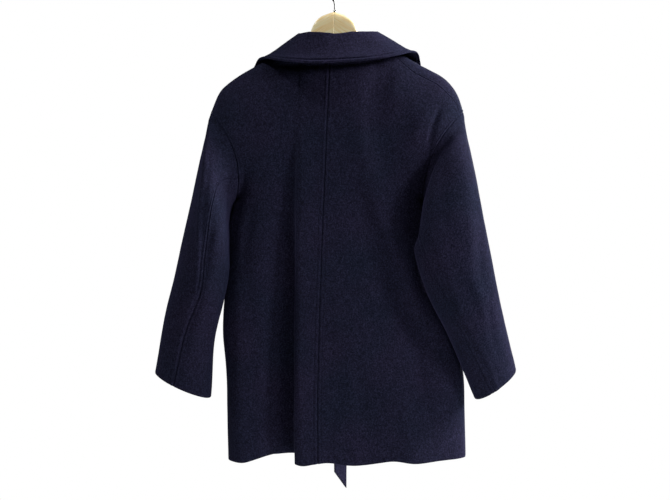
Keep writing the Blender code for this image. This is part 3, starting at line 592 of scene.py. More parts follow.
def with_edges(shares, long, first=True):
    """Swaps the shares near the last end of a length, and near the first if asked, for a seam's steps."""
    near, clear = SEAM_STEPS / long, SEAM_CLEAR / long
    kept = [s for s in shares if (s > clear or not first) and s < 1 - clear]
    added = ([0.0] + near.tolist() if first else []) + (1 - near).tolist() + [1.0]
    return np.array(sorted(set(kept + added)))


def distances(grid, axis):
    """How far each point lies, along its row or column, from the grid's first and from its last edge."""
    steps = np.linalg.norm(np.diff(grid, axis=axis), axis=-1)
    walked = np.cumsum(steps, axis=axis)
    start = np.zeros_like(np.take(walked, [0], axis=axis))
    walked = np.concatenate([start, walked], axis=axis)
    return walked, np.take(walked, [-1], axis=axis) - walked


def bump(distance, centre, half):
    return np.exp(-(((distance - centre) / half) ** 2))


def rising(values, low, high):
    """An array's smooth steps from 0 at low to 1 at high."""
    u = np.clip((values - low) / (high - low), 0, 1)
    return u * u * (3 - 2 * u)


def seam_relief(distance):
    """A felled seam seen from its fold: a groove at the seam, a soft welt and a stitched line beyond it."""
    s = sizes()
    groove = -1000 * s.seam_groove * bump(distance, 0, 1.5)
    welt = 1000 * s.welt * (bump(distance, 3.6, 2.0) - 1.1 * bump(distance, 6.9, 0.9))
    return groove + welt


def edge_relief(distance):
    """A hand-finished edge: it thins and rounds off, with a sunk line of small stitches beside it."""
    return -0.55 * bump(distance, 0, 1.0) - 1000 * sizes().pick_depth * bump(distance, 6.6, 0.75)


def uneven(grid, height, grain, seed):
    """Soft unevenness of hung cloth, drawn out downwards: how far out each point moves, by seeded noise."""
    shift = Vector((seed * 17.3, seed * 5.1, seed * 29.7))
    drawn_out = grain * 2.2
    moved = [noise.noise(Vector((x / grain, y / grain, z / drawn_out)) + shift)
             for x, y, z in grid.reshape(-1, 3)]
    return height * np.array(moved).reshape(grid.shape[:2])


def outward(grid, flip):
    """The normals that point out of the cloth, where flip is for a grid that runs the other way round."""
    return normals_of(grid) * (-1 if flip else 1)


RIM_ROUND = 0.22  # how far a wall's rim stands out, as a share of its thickness


def shell_parts(outside, thickness, flip):
    """Points and faces of a closed wall of cloth with a rounded rim, from its outside's grid."""
    rows, columns = outside.shape[:2]
    border = [(0, j) for j in range(columns)] + [(i, columns - 1) for i in range(1, rows)]
    border += [(rows - 1, j) for j in range(columns - 2, -1, -1)] + [(i, 0) for i in range(rows - 2, 0, -1)]
    count = rows * columns
    index = np.arange(count).reshape(rows, columns)
    inside = outside - outward(outside, flip) * thickness
    across = ways_along(outside, 1)
    along = ways_along(outside, 0)
    rim = []
    for i, j in border:
        out = np.zeros(3)
        if j == 0:
            out -= across[i, j]
        if j == columns - 1:
            out += across[i, j]
        if i == 0:
            out -= along[i, j]
        if i == rows - 1:
            out += along[i, j]
        rim.append((outside[i, j] + inside[i, j]) / 2 + unit(out) * thickness * RIM_ROUND)
    a, b, c, d = index[:-1, :-1], index[:-1, 1:], index[1:, 1:], index[1:, :-1]
    outer = np.stack([a, b, c, d], axis=-1).reshape(-1, 4)
    faces = (outer[:, ::-1]).tolist() + (outer + count).tolist()
    for k, (here, there) in enumerate(zip(border, border[1:] + border[:1])):
        p, q = int(index[here]), int(index[there])
        m, n = 2 * count + k, 2 * count + (k + 1) % len(border)
        faces.append([p, q, n, m])
        faces.append([m, n, q + count, p + count])
    if flip:
        faces = [face[::-1] for face in faces]
    points = np.concatenate([outside.reshape(-1, 3), inside.reshape(-1, 3), np.array(rim)])
    return points, faces


def add_piece(name, points, faces, finish):
    """A new object at the origin from points in millimetres, with its faces turned outwards."""
    mesh = bpy.data.meshes.new(name)
    mesh.from_pydata(place(points).tolist(), [], faces)
    shape = bmesh.new()
    shape.from_mesh(mesh)
    bmesh.ops.recalc_face_normals(shape, faces=shape.faces)
    shape.to_mesh(mesh)
    shape.free()
    mesh.shade_smooth()
    mesh.materials.append(finish)
    piece = bpy.data.objects.new(name, mesh)
    bpy.context.scene.collection.objects.link(piece)
    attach(piece, "root")
    return piece


# Each made piece's outside and which way round it runs, kept so that its seams can be lined
GRIDS = {}


def cloth_piece(name, grid, relief, flip, thickness):
    """A wall of wool in place of a solid: the grid moved out by its relief, below 0 into the cloth."""
    grid = grid + outward(grid, flip) * relief[..., None]
    GRIDS[name] = (grid, flip)
    points, faces = shell_parts(grid, thickness, flip)
    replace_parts(add_piece(f"wool_{name}", points, faces, wool_melton()), name)


def tube_faces(rows, around, closed=False):
    """The faces between rings of points, and from the last ring to the first where it is closed."""
    faces = []
    for i in range(rows if closed else rows - 1):
        for j in range(around):
            k, m = (j + 1) % around, (i + 1) % rows
            faces.append([i * around + j, m * around + j, m * around + k, i * around + k])
    return faces


def tube_ends(rows, around):
    return [list(range(around)), [(rows - 1) * around + j for j in reversed(range(around))]]


def squared(value, power):
    """A sine or cosine raised to a power below 1 with its sign kept, which squares off a round section."""
    return math.copysign(abs(value) ** power, value)


# --- Strips that bind the seams -------------------------------------------------------------------

STRIP_REACH = (8.0, 5.0, 2.5, 0.6)  # how far into each piece a strip's rows of points lie
STRIP_UNDER = 0.35  # its gap to the cloth's inside
STRIP_THICK = 0.9
NECK_COLUMNS = 0.36  # the share of a back panel's columns that end at the neck
NEAR_SQUARE = 30.0  # the square of how far along a border its points still count, in square millimetres
STAND_SHARE = 0.12  # how far the collar's half of the neck strip lies from it, as a share of the strips'


def edge_strip(edge_a, in_a, normal_a, edge_b, in_b, normal_b):
    """A narrow strip that lies inside two sewn pieces, along their seam.

    Each edge comes with the way into its piece and the way out of the cloth.
    """
    depth = cloth_wall() + STRIP_UNDER
    rows = [edge_a + in_a * wide - normal_a * depth for wide in STRIP_REACH]
    rows += [edge_b + in_b * wide - normal_b * depth for wide in reversed(STRIP_REACH)]
    return shell_parts(np.stack(rows), STRIP_THICK, False)


def border_of(name, edge):
    """One edge of a made piece: its points, the way into the piece and the way out of the cloth."""
    grid, flip = GRIDS[name]
    axis = 1 if edge in ("start", "end") else 0
    first = edge in ("start", "bottom")
    into = ways_along(grid, axis) * (1 if first else -1)
    return [np.take(part, 0 if first else -1, axis=axis) for part in (grid, into, outward(grid, flip))]


def by_length(border, count):
    """A border read at a count of places evenly spaced along its length."""
    walked = np.concatenate([[0], np.cumsum(np.linalg.norm(np.diff(border[0], axis=0), axis=1))])
    wanted = np.linspace(0, walked[-1], count)
    return [np.stack([np.interp(wanted, walked, part[:, c]) for c in range(3)], axis=-1) for part in border]


def nearest(places, border):
    """A border read next to each of some places, as a mean of its points there by how near they are."""
    gaps = np.linalg.norm(border[0][None] - places[:, None], axis=2)
    near = np.exp((gaps.min(axis=1, keepdims=True) ** 2 - gaps**2) / NEAR_SQUARE)
    near /= near.sum(axis=1, keepdims=True)
    return [near @ part for part in border]


def sewn_strip(first, second, count):
    """The strip along a seam between two borders of equal length."""
    return edge_strip(*by_length(first, count), *by_length(second, count))


def back_top(side):
    """A back panel's top edge, parted into its neckline and its shoulder line."""
    border = border_of(f"back_{side}", "top")
    corner = int(len(border[0]) * NECK_COLUMNS)
    return [part[:corner + 1] for part in border], [part[corner:] for part in border]


def add_strips(name, strips):
    """Adds several strips as one object."""
    points, faces, start = [], [], 0
    for some_points, some_faces in strips:
        points.append(some_points)
        faces += [[v + start for v in face] for face in some_faces]
        start += len(some_points)
    add_piece(name, np.concatenate(points), faces, wool_melton())


def body_strips():
    """The strips inside the centre seam, the side seams and the shoulders."""
    strips = [sewn_strip(border_of("back_left", "start"), border_of("back_right", "start"), 160)]
    for side in SIDES:
        strips.append(sewn_strip(border_of(f"back_{side}", "end"), border_of(f"front_{side}", "end"), 160))
    for side in SIDES:
        strips.append(sewn_strip(back_top(side)[1], border_of(f"front_{side}", "top"), 50))
    add_strips("seam_strips_body", strips)


def sleeve_strips(side):
    """The strips inside a sleeve's armhole, up the back and up the front, and inside its two seams."""
    top, under = f"sleeve_top_{side}", f"sleeve_under_{side}"
    head = [np.concatenate(both) for both in zip(border_of(top, "bottom"), border_of(under, "bottom"))]
    strips = []
    for face in ("back", "front"):
        border = border_of(f"{face}_{side}", "end")
        upper = border[0][:, 2] > ARMPIT + 1
        armhole = by_length([part[upper] for part in border], 60)
        strips.append(edge_strip(*armhole, *nearest(armhole[0], head)))
    strips.append(sewn_strip(border_of(top, "end"), border_of(under, "start"), 120))
    strips.append(sewn_strip(border_of(top, "start"), border_of(under, "end"), 120))
    add_strips(f"seam_strips_sleeve_{side}", strips)


def neck_strips():
    """The strips inside the neck, between the back panels and the collar's stand."""
    strips = []
    for side in SIDES:
        neckline_part = by_length(back_top(side)[0], 50)
        points, ways, normals = nearest(neckline_part[0], border_of("collar", "bottom"))
        # The stand's outside faces the neck, so its half of the strip lies on it, not under it
        strips.append(edge_strip(*neckline_part, points, ways, -STAND_SHARE * normals))
    add_strips("seam_strips_neck", strips)


# --- Body panels ----------------------------------------------------------------------------------

# Extra creases of the body: where each runs, its half-width (or the one towards the wearer's right and the
# one towards the left) and how deep it is, below 0 for a ridge
BACK_CREASES = lines("height  x  depth", [
    ((9, 34), [
        (0, 88, 6.0), (32, 88, 7.0), (104, 91, 8.0), (272, 91, 8.0), (432, 90, 7.6), (562, 88, 7.0),
        (612, 86, 5.4), (658, 84, 2.4), (692, 84, 0)]),
    ((24, 9), [
        (0, 66, -5.4), (104, 68, -6.6), (332, 68, -6.4), (532, 66, -5.4), (612, 64, -3.6), (692, 62, 0)]),
    (15, [
        (280, -182, 0), (332, -160, -4.0), (392, -134, -4.8), (460, -106, -4.2), (532, -74, -2.2),
        (602, -46, 0)]),
    ((18, 13), [
        (232, -170, 0), (284, -152, 4.2), (340, -130, 5.2), (408, -102, 4.6), (482, -72, 2.6),
        (548, -46, 0)]),
    (8, [(132, -180, 0), (164, -172, 4.2), (204, -164, 3.6), (228, -158, 0)]),
    (11, [(84, -218, 0), (136, -210, -2.4), (188, -202, -2.4), (228, -194, 0)]),
    (14, [(0, 12, 3.0), (52, 10, 3.2), (132, 4, 2.6), (192, 0, 0)]),
    (13, [(0, -38, -1.6), (92, -34, -2.2), (172, -30, -2.6), (232, -34, 0)]),
    (12, [(72, -146, 0), (128, -138, -2.6), (172, -126, 0)]),
    (16, [(0, -122, 2.4), (72, -118, 2.2), (132, -114, 0)]),
    (13, [(0, 186, -2.0), (172, 188, -2.8), (332, 190, -2.4), (452, 190, 0)]),
    (11, [(0, 146, -1.4), (92, 146, -1.8), (212, 146, -1.6), (332, 146, 0)]),
    (9, [(352, 208, 0), (432, 204, 2.2), (502, 198, 3.4), (552, 190, 3.0), (596, 186, 0)]),
    (10, [(372, 182, 0), (440, 176, 2.0), (500, 166, 1.8), (540, 154, 0)]),
    (6, [
        (520, -166, 0), (560, -174, 3.4), (612, -182, 3.8), (672, -192, 3.6), (708, -206, 2.4),
        (724, -214, 0)]),
    (12, [(524, -134, 0), (592, -148, -2.4), (660, -160, -2.2), (716, -178, 0)]),
    (17, [(640, 98, 0), (680, 106, 1.2), (720, 118, 0)]),
    (18, [(572, 54, 0), (632, 52, 1.2), (712, 50, 1.0), (772, 46, 0)]),
    (20, [(580, -62, 0), (640, -54, -1.8), (692, -62, 0)]),
])
FRONT_CREASES = lines("height  x  depth", [
    (12, [(60, -40, 0), (170, -46, 1.8), (300, -40, 2.2), (400, -30, 0)]),
    (13, [(40, 30, 0), (160, 52, 1.6), (300, 44, 2.4), (404, 30, 0)]),
    (9, [(452, -84, 0), (480, -90, 2.4), (540, -100, 1.6), (600, -108, 0)]),
    (9, [(452, 82, 0), (484, 90, 2.2), (540, 104, 1.8), (606, 116, 0)]),
    (11, [(330, -150, 0), (390, -142, 2.4), (424, -136, 3.0), (460, -140, 0)]),
    (11, [(320, 152, 0), (380, 146, 2.6), (424, 138, 3.0), (462, 144, 0)]),
    (16, [(0, -196, 1.5), (120, -190, 2.4), (260, -176, 0)]),
    (16, [(0, 178, 1.5), (120, 176, 2.6), (240, 170, 0)]),
])
PANEL_WIDE = 260.0  # about how wide a panel is
RISE = 0.55  # the upper body's height as a share of the lower's
CLIMB_ROWS = 22  # rows of the surface worked out above the armpit
SEAM_PARTS = np.array([0.25, 0.5, 0.75, 1])  # rows of the right front that go on over the shoulder
WAVER = 1.6  # how far a crease wanders to either side
WAX_SHARE = 0.12  # the share by which its depth comes and goes
CALM_TURNS = 400
NECK_CALM = 64  # x of the bumps at the neck's corners that are evened out, on both sides
FINE_COLUMNS = 74
FINE_ROWS = (62, 60)  # below the armpit and above it
FOLD_TUCK = 12.0  # how far the long fold's valley lies in under its ridge
BELT_NIP = 2.6  # how far the belt sinks the front under it
HEM_TURN = 38.0  # how deep the hem inside the skirt is
# Where the collar's free edge lies over the back, and how far the back sinks just below it
COLLAR_EDGE = ([-140, -100, -50, 0, 66, 110, 146], [826, 817, 807, 803, 803, 807, 814])
UNDER_COLLAR = 8.0


def creased(grid, creases):
    """How far each point of a grid sinks into its creases, each a little uneven along its way."""
    relief = np.zeros(grid.shape[:2])
    for number, ((right, left), line) in enumerate(creases):
        heights = np.clip(grid[..., 2], line.keys[0], line.keys[-1])
        waver, waxing = WAVER * np.sin(heights / 37.0 + 2.3 * number), np.sin(heights / 23.0 + number)
        middle = np.interp(heights, line.keys, line.values[1]) + waver
        depth = np.interp(heights, line.keys, line.values[2])
        width = np.where(grid[..., 0] < middle, right, left)
        relief -= depth * bump(grid[..., 0], middle, width) * (1 + WAX_SHARE * waxing)
    return relief


def eased(grid, side, body=True):
    """The sides pressed in or let out a little where the sleeves hang against them."""
    x, height = grid[..., 0], grid[..., 2]
    moved = grid.copy()
    if side == "left":
        if body:
            moved[..., 0] += 3.4 * bump(height, 486, 46) * rising(x, 150, 190)
        return moved
    pressed = rising(-x, 120, 165) * (1 - rising(-x, 196, 240))
    moved[..., 0] += 11.0 * bump(height, 516, 44) * pressed
    if body:
        moved[..., 0] -= 6.0 * bump(height, 500, 26) * rising(-x, 140, 172)
    return moved


def long_fold(grid):
    """The long fold's ridge hangs over its valley: the valley moves in under it."""
    x, height = grid[..., 0], grid[..., 2]
    moved = grid.copy()
    moved[..., 0] -= FOLD_TUCK * bump(x, 100, 16) * rising(height, 20, 110) * (1 - rising(height, 600, 700))
    return moved


def calmed(grid, share, turns):
    """Evens out the depth of a grid's points where share is above 0, and leaves its borders."""
    calm = grid.copy()
    depth = calm[..., 1]
    for _ in range(turns):
        mean = (depth[:-2, 1:-1] + depth[2:, 1:-1] + depth[1:-1, :-2] + depth[1:-1, 2:]) / 4
        depth[1:-1, 1:-1] += share[1:-1, 1:-1] * (mean - depth[1:-1, 1:-1]) * 0.9
    return calm


def eased_climb(steps):
    """Shares of a climb, closer together at both ends."""
    return (1 - np.cos(np.pi * np.arange(1, steps + 1) / steps)) / 2


def panel_grid(side, face):
    """A panel's outside from hem to top edge, at fine steps, before its seams and creases."""
    if (side, face) == ("left", "back"):
        columns = crowded(30, (0.30, 2.0, 0.14), (1, 1.5, 0.1))
    else:
        columns = crowded(26, (0.58, 0.7, 0.16), (1, 2.0, 0.12))
    heights = np.concatenate([np.linspace(0, 130, 9), np.linspace(150, ARMPIT, 19)])
    grid = [[body_point(side, face, s, height / ARMPIT) for s in columns] for height in heights]
    gap = SHOULDER_GAP[side]
    if face == "back":
        tops = [shoulder_seam(side, max(0.0, (s - NECK_SHARE) / (1 - NECK_SHARE))) - gap for s in columns]
    else:
        tops = [1 if side == "right" else 1 - gap] * len(columns)
    climb = eased_climb(CLIMB_ROWS)
    for climbed in climb:
        grid.append([body_point(side, face, s, 1 + top * climbed) for s, top in zip(columns, tops)])
    places = np.concatenate([heights / ARMPIT, 1 + RISE * climb])
    if (side, face) == ("right", "front"):
        for part in SEAM_PARTS:
            beyond = [part * (1 - shoulder_seam(side, s)) - gap * part for s in columns]
            grid.append([over_shoulder(side, s, b) for s, b in zip(columns, beyond)])
        places = np.concatenate([places, places[-1] + RISE * 0.02 * SEAM_PARTS])
    fine_columns = with_edges(crowded(FINE_COLUMNS, (0.3, 1.0, 0.2), (1, 1.0, 0.2)), PANEL_WIDE)
    hem = np.array([0, 0.8, 2.0, 4.0, 7.0]) / ARMPIT
    fine_climb = 1 + (places[-1] - 1) * eased_climb(FINE_ROWS[1])
    fine_rows = np.concatenate([hem, np.linspace(11 / ARMPIT, 1, FINE_ROWS[0]), fine_climb])
    fine = eased(resample_both(np.array(grid), places, fine_rows, columns, fine_columns), side)
    if face == "front":
        return fine
    from_corner = np.abs(np.abs(fine[..., 0]) - NECK_CALM)
    fine = calmed(fine, rising(fine[..., 2], 650, 730) * (1 - rising(from_corner, 22, 48)), CALM_TURNS)
    return long_fold(fine) if side == "left" else fine


def make_panel(side, face):
    """One of the body's four panels, with its creases, seams, hem and belt mark."""
    grid = panel_grid(side, face)
    from_start, from_end = distances(grid, 1)
    from_hem, from_top = distances(grid, 0)
    x, height = grid[..., 0], grid[..., 2]
    relief = creased(grid, BACK_CREASES if face == "back" else FRONT_CREASES)
    relief += uneven(grid, height=1.1, grain=52.0, seed=3 if side == "left" else 8)
    relief += uneven(grid, height=0.35, grain=15.0, seed=5)
    if face == "front":
        under_belt = np.clip(1 - np.abs(height - BELT_HEIGHT - 3) / (BELT_WIDTH / 2 + 9), 0, 1)
        relief -= BELT_NIP * under_belt * np.clip(np.abs(x) / 60, 0, 1)
        relief += edge_relief(from_start) * np.clip((BREAK + 8 - height) / 12, 0, 1)
    else:
        relief += seam_relief(from_start)
        edge = np.interp(x, COLLAR_EDGE[0], COLLAR_EDGE[1])
        relief -= UNDER_COLLAR * bump(height, edge - 5, 7.5) * (1 - rising(np.abs(x - 6), 84, 128))
    relief += seam_relief(from_end)
    relief -= 0.35 * bump(from_hem, 0, 1.2) + 0.3 * bump(from_hem, HEM_TURN, 1.1)
    relief -= 1.0 * bump(from_top, 0, 1.5)
    keep = np.minimum(1, (from_top + 2) / 14)
    cloth_piece(f"{face}_{side}", grid, relief * keep, (side == "right") == (face == "back"), cloth_wall())


# --- Sleeves --------------------------------------------------------------------------------------

# Creases of the sleeves by share of the length: where round the ring each runs, in degrees, its half-width
# in degrees and its depth in millimetres, below 0 for a ridge
SLEEVE_CREASES = {
    "left": lines("share  degrees  depth", [
        (14, [(0.06, 214, 0), (0.16, 226, 3.0), (0.3, 250, 2.0), (0.4, 268, 0)]),
        (13, [(0.34, 200, 0), (0.48, 226, 3.2), (0.6, 256, 2.4), (0.7, 280, 0)]),
        (12, [(0.1, 300, 0), (0.22, 306, 1.8), (0.4, 316, 1.6), (0.56, 322, 0)]),
        (11, [(0.5, 262, 0), (0.6, 250, 2.2), (0.72, 240, 1.8), (0.86, 236, 0)]),
    ]),
    "right": lines("share  degrees  depth", [
        (14, [(0.06, 220, 0), (0.18, 236, 3.0), (0.32, 256, 2.2), (0.44, 272, 0)]),
        (13, [(0.38, 206, 0), (0.5, 230, 3.0), (0.62, 254, 2.4), (0.74, 276, 0)]),
        (12, [(0.1, 310, 0), (0.26, 316, 1.8), (0.44, 322, 1.6), (0.6, 330, 0)]),
        (11, [(0.52, 268, 0), (0.62, 254, 2.2), (0.74, 244, 1.8), (0.88, 240, 0)]),
    ]),
}
# The creases on the back of the sleeves, laid out as the body's are
SLEEVE_BACK_CREASES = {
    "left": lines("height  x  depth", [
        ((3.5, 7), [
            (164, 322, 0), (208, 314, -2.0), (252, 303, -2.4), (296, 290, -2.6), (342, 272, -2.6),
            (382, 267, -3.4), (428, 264, -4.6), (468, 260, -5.6), (522, 255, -6.0), (572, 252, -6.0),
            (632, 250, -6.0), (682, 248, -4.4), (724, 246, 0)]),
        (13, [
            (420, 246, 0), (472, 236, 2.6), (532, 228, 3.2), (592, 226, 3.4), (652, 226, 2.6),
            (712, 226, 0)]),
        (7, [(504, 232, 0), (536, 218, 2.4), (560, 208, 2.4), (580, 198, 0)]),
        (9, [(352, 252, 0), (408, 248, 2.2), (460, 238, 2.0), (504, 222, 0)]),
        (10, [(332, 310, 0), (392, 298, 1.6), (472, 286, 2.4), (552, 280, 2.0), (632, 274, 0)]),
        (9, [(212, 330, 0), (260, 318, 2.0), (308, 302, 2.2), (352, 290, 0)]),
        (10, [(212, 278, 0), (272, 266, -2.0), (332, 252, -1.8), (392, 242, 0)]),
    ]),
    "right": lines("height  x  depth", [
        ((6, 4), [
            (144, -318, 0), (164, -312, -1.8), (204, -298, -2.2), (240, -282, -2.4), (276, -264, -2.4),
            (314, -244, -2.6), (354, -224, -2.8), (400, -208, -2.8), (446, -192, -2.4), (476, -178, 0)]),
        (12, [(392, -270, 0), (472, -262, -2.0), (552, -254, -2.4), (632, -246, -2.0), (688, -242, 0)]),
        (11, [(408, -230, 0), (472, -214, 2.0), (532, -206, 2.4), (592, -206, 2.2), (652, -210, 0)]),
        (9, [(440, -246, 0), (476, -222, 2.2), (504, -202, 2.4), (520, -186, 0)]),
        (10, [(332, -294, 0), (392, -282, 2.2), (452, -278, 2.2), (504, -282, 0)]),
        (9, [(212, -318, 0), (260, -306, 2.0), (312, -298, 2.0), (360, -302, 0)]),
        (10, [(272, -290, 0), (320, -270, 2.2), (364, -246, 2.2), (408, -226, 0)]),
    ]),
}
CUFF_TURN = 42.0  # how deep the hem inside a cuff is
SLEEVE_LONG = 560.0  # about how long a sleeve is
# Each part of a sleeve: about how wide it is, and its columns at first and at fine steps
SLEEVE_PARTS = {"top": (210.0, 17, 54), "under": (130.0, 13, 34)}


def make_sleeve(side, part):
    """One of a sleeve's two panels: the top one from the fore seam over the outer edge to the hind seam."""
    seams = SLEEVE_SEAMS[side]
    wide, column_count, fine_count = SLEEVE_PARTS[part]
    coarse_rows, coarse_columns = np.linspace(0, 1, 36), np.linspace(0, 1, column_count)
    grid, degrees_at = [], []
    for share in coarse_rows:
        share = SLEEVE_START + (1 - SLEEVE_START) * share
        hind, fore = seams.at("hind", share), seams.at("fore", share)
        start, end = (fore - 360, hind) if part == "top" else (hind, fore)
        degrees = np.linspace(start + SEAM_DEGREES, end - SEAM_DEGREES, column_count)
        grid.append([sleeve_ring(side, share, d) for d in degrees])
        degrees_at.append(degrees)
    columns = with_edges(np.linspace(0, 1, fine_count), wide)
    rows = with_edges(np.linspace(0, 1, 92), SLEEVE_LONG)
    fine = resample_both(grid, coarse_rows, rows, coarse_columns, columns)
    angles = resample_both(np.array(degrees_at)[..., None], coarse_rows, rows, coarse_columns, columns)
    angles = angles[..., 0] % 360
    fine = eased(fine, side, body=False)
    from_start, from_end = distances(fine, 1)
    from_top, from_cuff = distances(fine, 0)
    relief = uneven(fine, height=1.0, grain=44.0, seed=11 if side == "left" else 19)
    relief += uneven(fine, height=0.3, grain=14.0, seed=6)
    for (half, _), line in SLEEVE_CREASES[side]:
        middle = np.interp(rows, line.keys, line.values[1])[:, None]
        depth = np.interp(rows, line.keys, line.values[2])[:, None]
        relief -= depth * bump((angles - middle + 180) % 360 - 180, 0, half)
    flip = side == "right"
    faces_back = rising(outward(fine, flip)[..., 1], 0.0, 0.5)
    relief += creased(fine, SLEEVE_BACK_CREASES[side]) * faces_back
    relief += seam_relief(from_start) + seam_relief(from_end)
    relief -= 1.0 * bump(from_top, 0, 1.6) - 0.7 * bump(from_top, 9.0, 6.0)
    relief -= 0.4 * bump(from_cuff, 0, 1.2) + 0.3 * bump(from_cuff, CUFF_TURN, 1.1)
    keep = np.minimum(1, (from_top + 3) / 14)
    cloth_piece(f"sleeve_{part}_{side}", fine, relief * keep, flip, cloth_wall())


# --- Collar and lapels ----------------------------------------------------------------------------


# How much higher than the plain fold the collar's top stands, by how far to the wearer's right
COLLAR_TOP = ([-68, -50, -30, -2, 14, 34, 54, 86], [0, 3.2, 1.4, -2.2, -0.2, 3.6, 3.2, 0])
COLLAR_FLARE = 8.0  # how far its free edge stands off the back
COLLAR_ROLL = 2.1  # how high the rolled edge of the collar stands, and of the lapels
LAPEL_ROLL = 1.5
TURNED_WALL = 3.0  # the thickness of the collar and of the lapels


def stitched_edge(inward):
    """The relief of a rolled edge with a line of stitches inside it, 1 high at its roll."""
    return bump(inward, 3.2, 2.8) - 0.8 * bump(inward, 7.6, 1.3) + 0.33 * bump(inward, 11.5, 3.0)


def make_collar():
    """The collar in one piece, from its left front end round the neck to its right one."""
    steps = 26
    shares = [("left", s) for s in np.linspace(1, 0, steps)]
    shares += [("right", s) for s in np.linspace(0, 1, steps)[1:]]
    rows = np.array([0, 0.06, 0.12, 0.2, 0.26, 0.32, 0.4, 0.48, 0.58, 0.7, 0.8, 0.9, 1])
    places = np.linspace(0, 1, len(shares))
    grid = [[collar_point(side, share, row) for side, share in shares] for row in rows]
    fine_rows = with_edges(np.linspace(0, 1, 44), 105.0, first=False)
    fine = resample_both(grid, rows, fine_rows, places, with_edges(np.linspace(0, 1, 120), 560.0))
    below_top = fine[..., 2].max(axis=0) - fine[..., 2]
    fine[..., 2] += np.interp(-fine[..., 0], COLLAR_TOP[0], COLLAR_TOP[1]) * bump(below_top, 0, 14.0)
    _, from_edge = distances(fine, 0)
    inward = np.minimum(from_edge, np.minimum(*distances(fine, 1)))
    stands_off = COLLAR_FLARE * bump(from_edge, 0, 26.0) * rising(fine[..., 1], 8, 56)
    relief = COLLAR_ROLL * stitched_edge(inward) + stands_off + edge_relief(inward)
    relief += uneven(fine, height=0.9, grain=46.0, seed=14)
    relief *= np.clip((fine_rows - 0.34) / 0.1, 0, 1)[:, None]
    relief += 0.25 * uneven(fine, height=1.0, grain=14.0, seed=2)
    cloth_piece("collar", fine, relief, False, TURNED_WALL)


def make_lapel(side):
    """A front's upper edge, turned back on its roll line."""
    rows = np.array([0, 0.12, 0.2, 0.26, 0.32, 0.4, 0.5, 0.62, 0.75, 0.88, 1])
    shares = np.linspace(0, 1, 15)
    grid = [[lapel_point(side, share, row) for share in shares] for row in rows]
    fine_rows = with_edges(np.linspace(0, 1, 40), 95.0, first=False)
    fine = resample_both(grid, rows, fine_rows, shares, with_edges(np.linspace(0, 1, 60), 270.0))
    inward = np.minimum(distances(fine, 0)[1], distances(fine, 1)[1])
    relief = LAPEL_ROLL * stitched_edge(inward) + edge_relief(inward)
    relief += uneven(fine, height=0.6, grain=40.0, seed=23)
    relief *= np.clip((fine_rows - 0.36) / 0.1, 0, 1)[:, None]
    cloth_piece(f"lapel_{side}", fine, relief, side == "right", TURNED_WALL)


# --- Belt -----------------------------------------------------------------------------------------

BELT_THICK = 4.0
BELT_SHARE = 0.66  # how narrow it is drawn where it enters the knot
END_SHARE = 0.72  # and where its ends leave the knot
BELT_PICK = 6.0  # how far in from a belt's edges its stitches run


def belt_relief(grid):
    """A belt's thinner edges, and the sunk stitches beside them."""
    edge = np.minimum(*distances(grid, 1))
    return -0.8 * bump(edge, 0, 1.2) - 0.4 * bump(edge, BELT_PICK, 0.8)


def make_belt_stretch(side):
    """The belt from a side seam to the knot, drawn together where it enters the knot."""
    sign = sign_of(side)
    knot_edge = KNOT[0] + sign * (KNOT[1] - 3)
    grid = []
    for share in np.linspace(0, 1, 60):
        row = []
        for across in np.linspace(-1, 1, 25):
            narrow = mix(1, BELT_SHARE, smoothstep(share, 0.55, 1))
            height = BELT_HEIGHT + 5 * (1 - share) + across * BELT_WIDTH / 2 * narrow
            degrees = mix(180 - sign * 80, 180 - ring_angle(height, knot_edge), share)
            x, y = ring(height, np.array([degrees, degrees + 0.5]))
            away = unit(np.array([-(y[1] - y[0]), x[1] - x[0]]))
            gather = 1.1 * smoothstep(share, 0.7, 1) * math.cos(across * 9.5 + sign * 0.6)
            off = 1 + BELT_THICK + gather + 0.5 * math.sin(share * 9 + across)
            row.append([x[0] + away[0] * off, y[0] + away[1] * off, height])
        grid.append(row)
    grid = np.array(grid)
    cloth_piece(f"belt_{side}", grid, belt_relief(grid), side == "left", BELT_THICK)


def make_belt_end(name, line, seed):
    """An end that hangs from the knot along its line, gathered at its top and turned as it falls."""
    grid = []
    for share in np.linspace(0, 1, 110):
        x, height, slant = (line.at(column, share) for column in ("x", "height", "slant"))
        twist = math.radians(line.at("twist", share))
        y = -BODY.at("front", max(height, 0)) - line.at("off", share)
        close = mix(END_SHARE, 1, smoothstep(share, 0, 0.16))
        row = []
        for across in np.linspace(-1, 1, 25):
            wide = across * BELT_WIDTH / 2 * close
            pleat = 1.4 * (1 - smoothstep(share, 0, 0.2)) * math.cos(across * 8 + seed)
            row.append([
                x + wide * math.cos(twist), y + wide * math.sin(twist) - pleat, height + slant * across])
        grid.append(row)
    grid = np.array(grid)
    relief = belt_relief(grid) + uneven(grid, height=0.8, grain=40.0, seed=seed)
    cloth_piece(name, grid, relief, False, BELT_THICK)


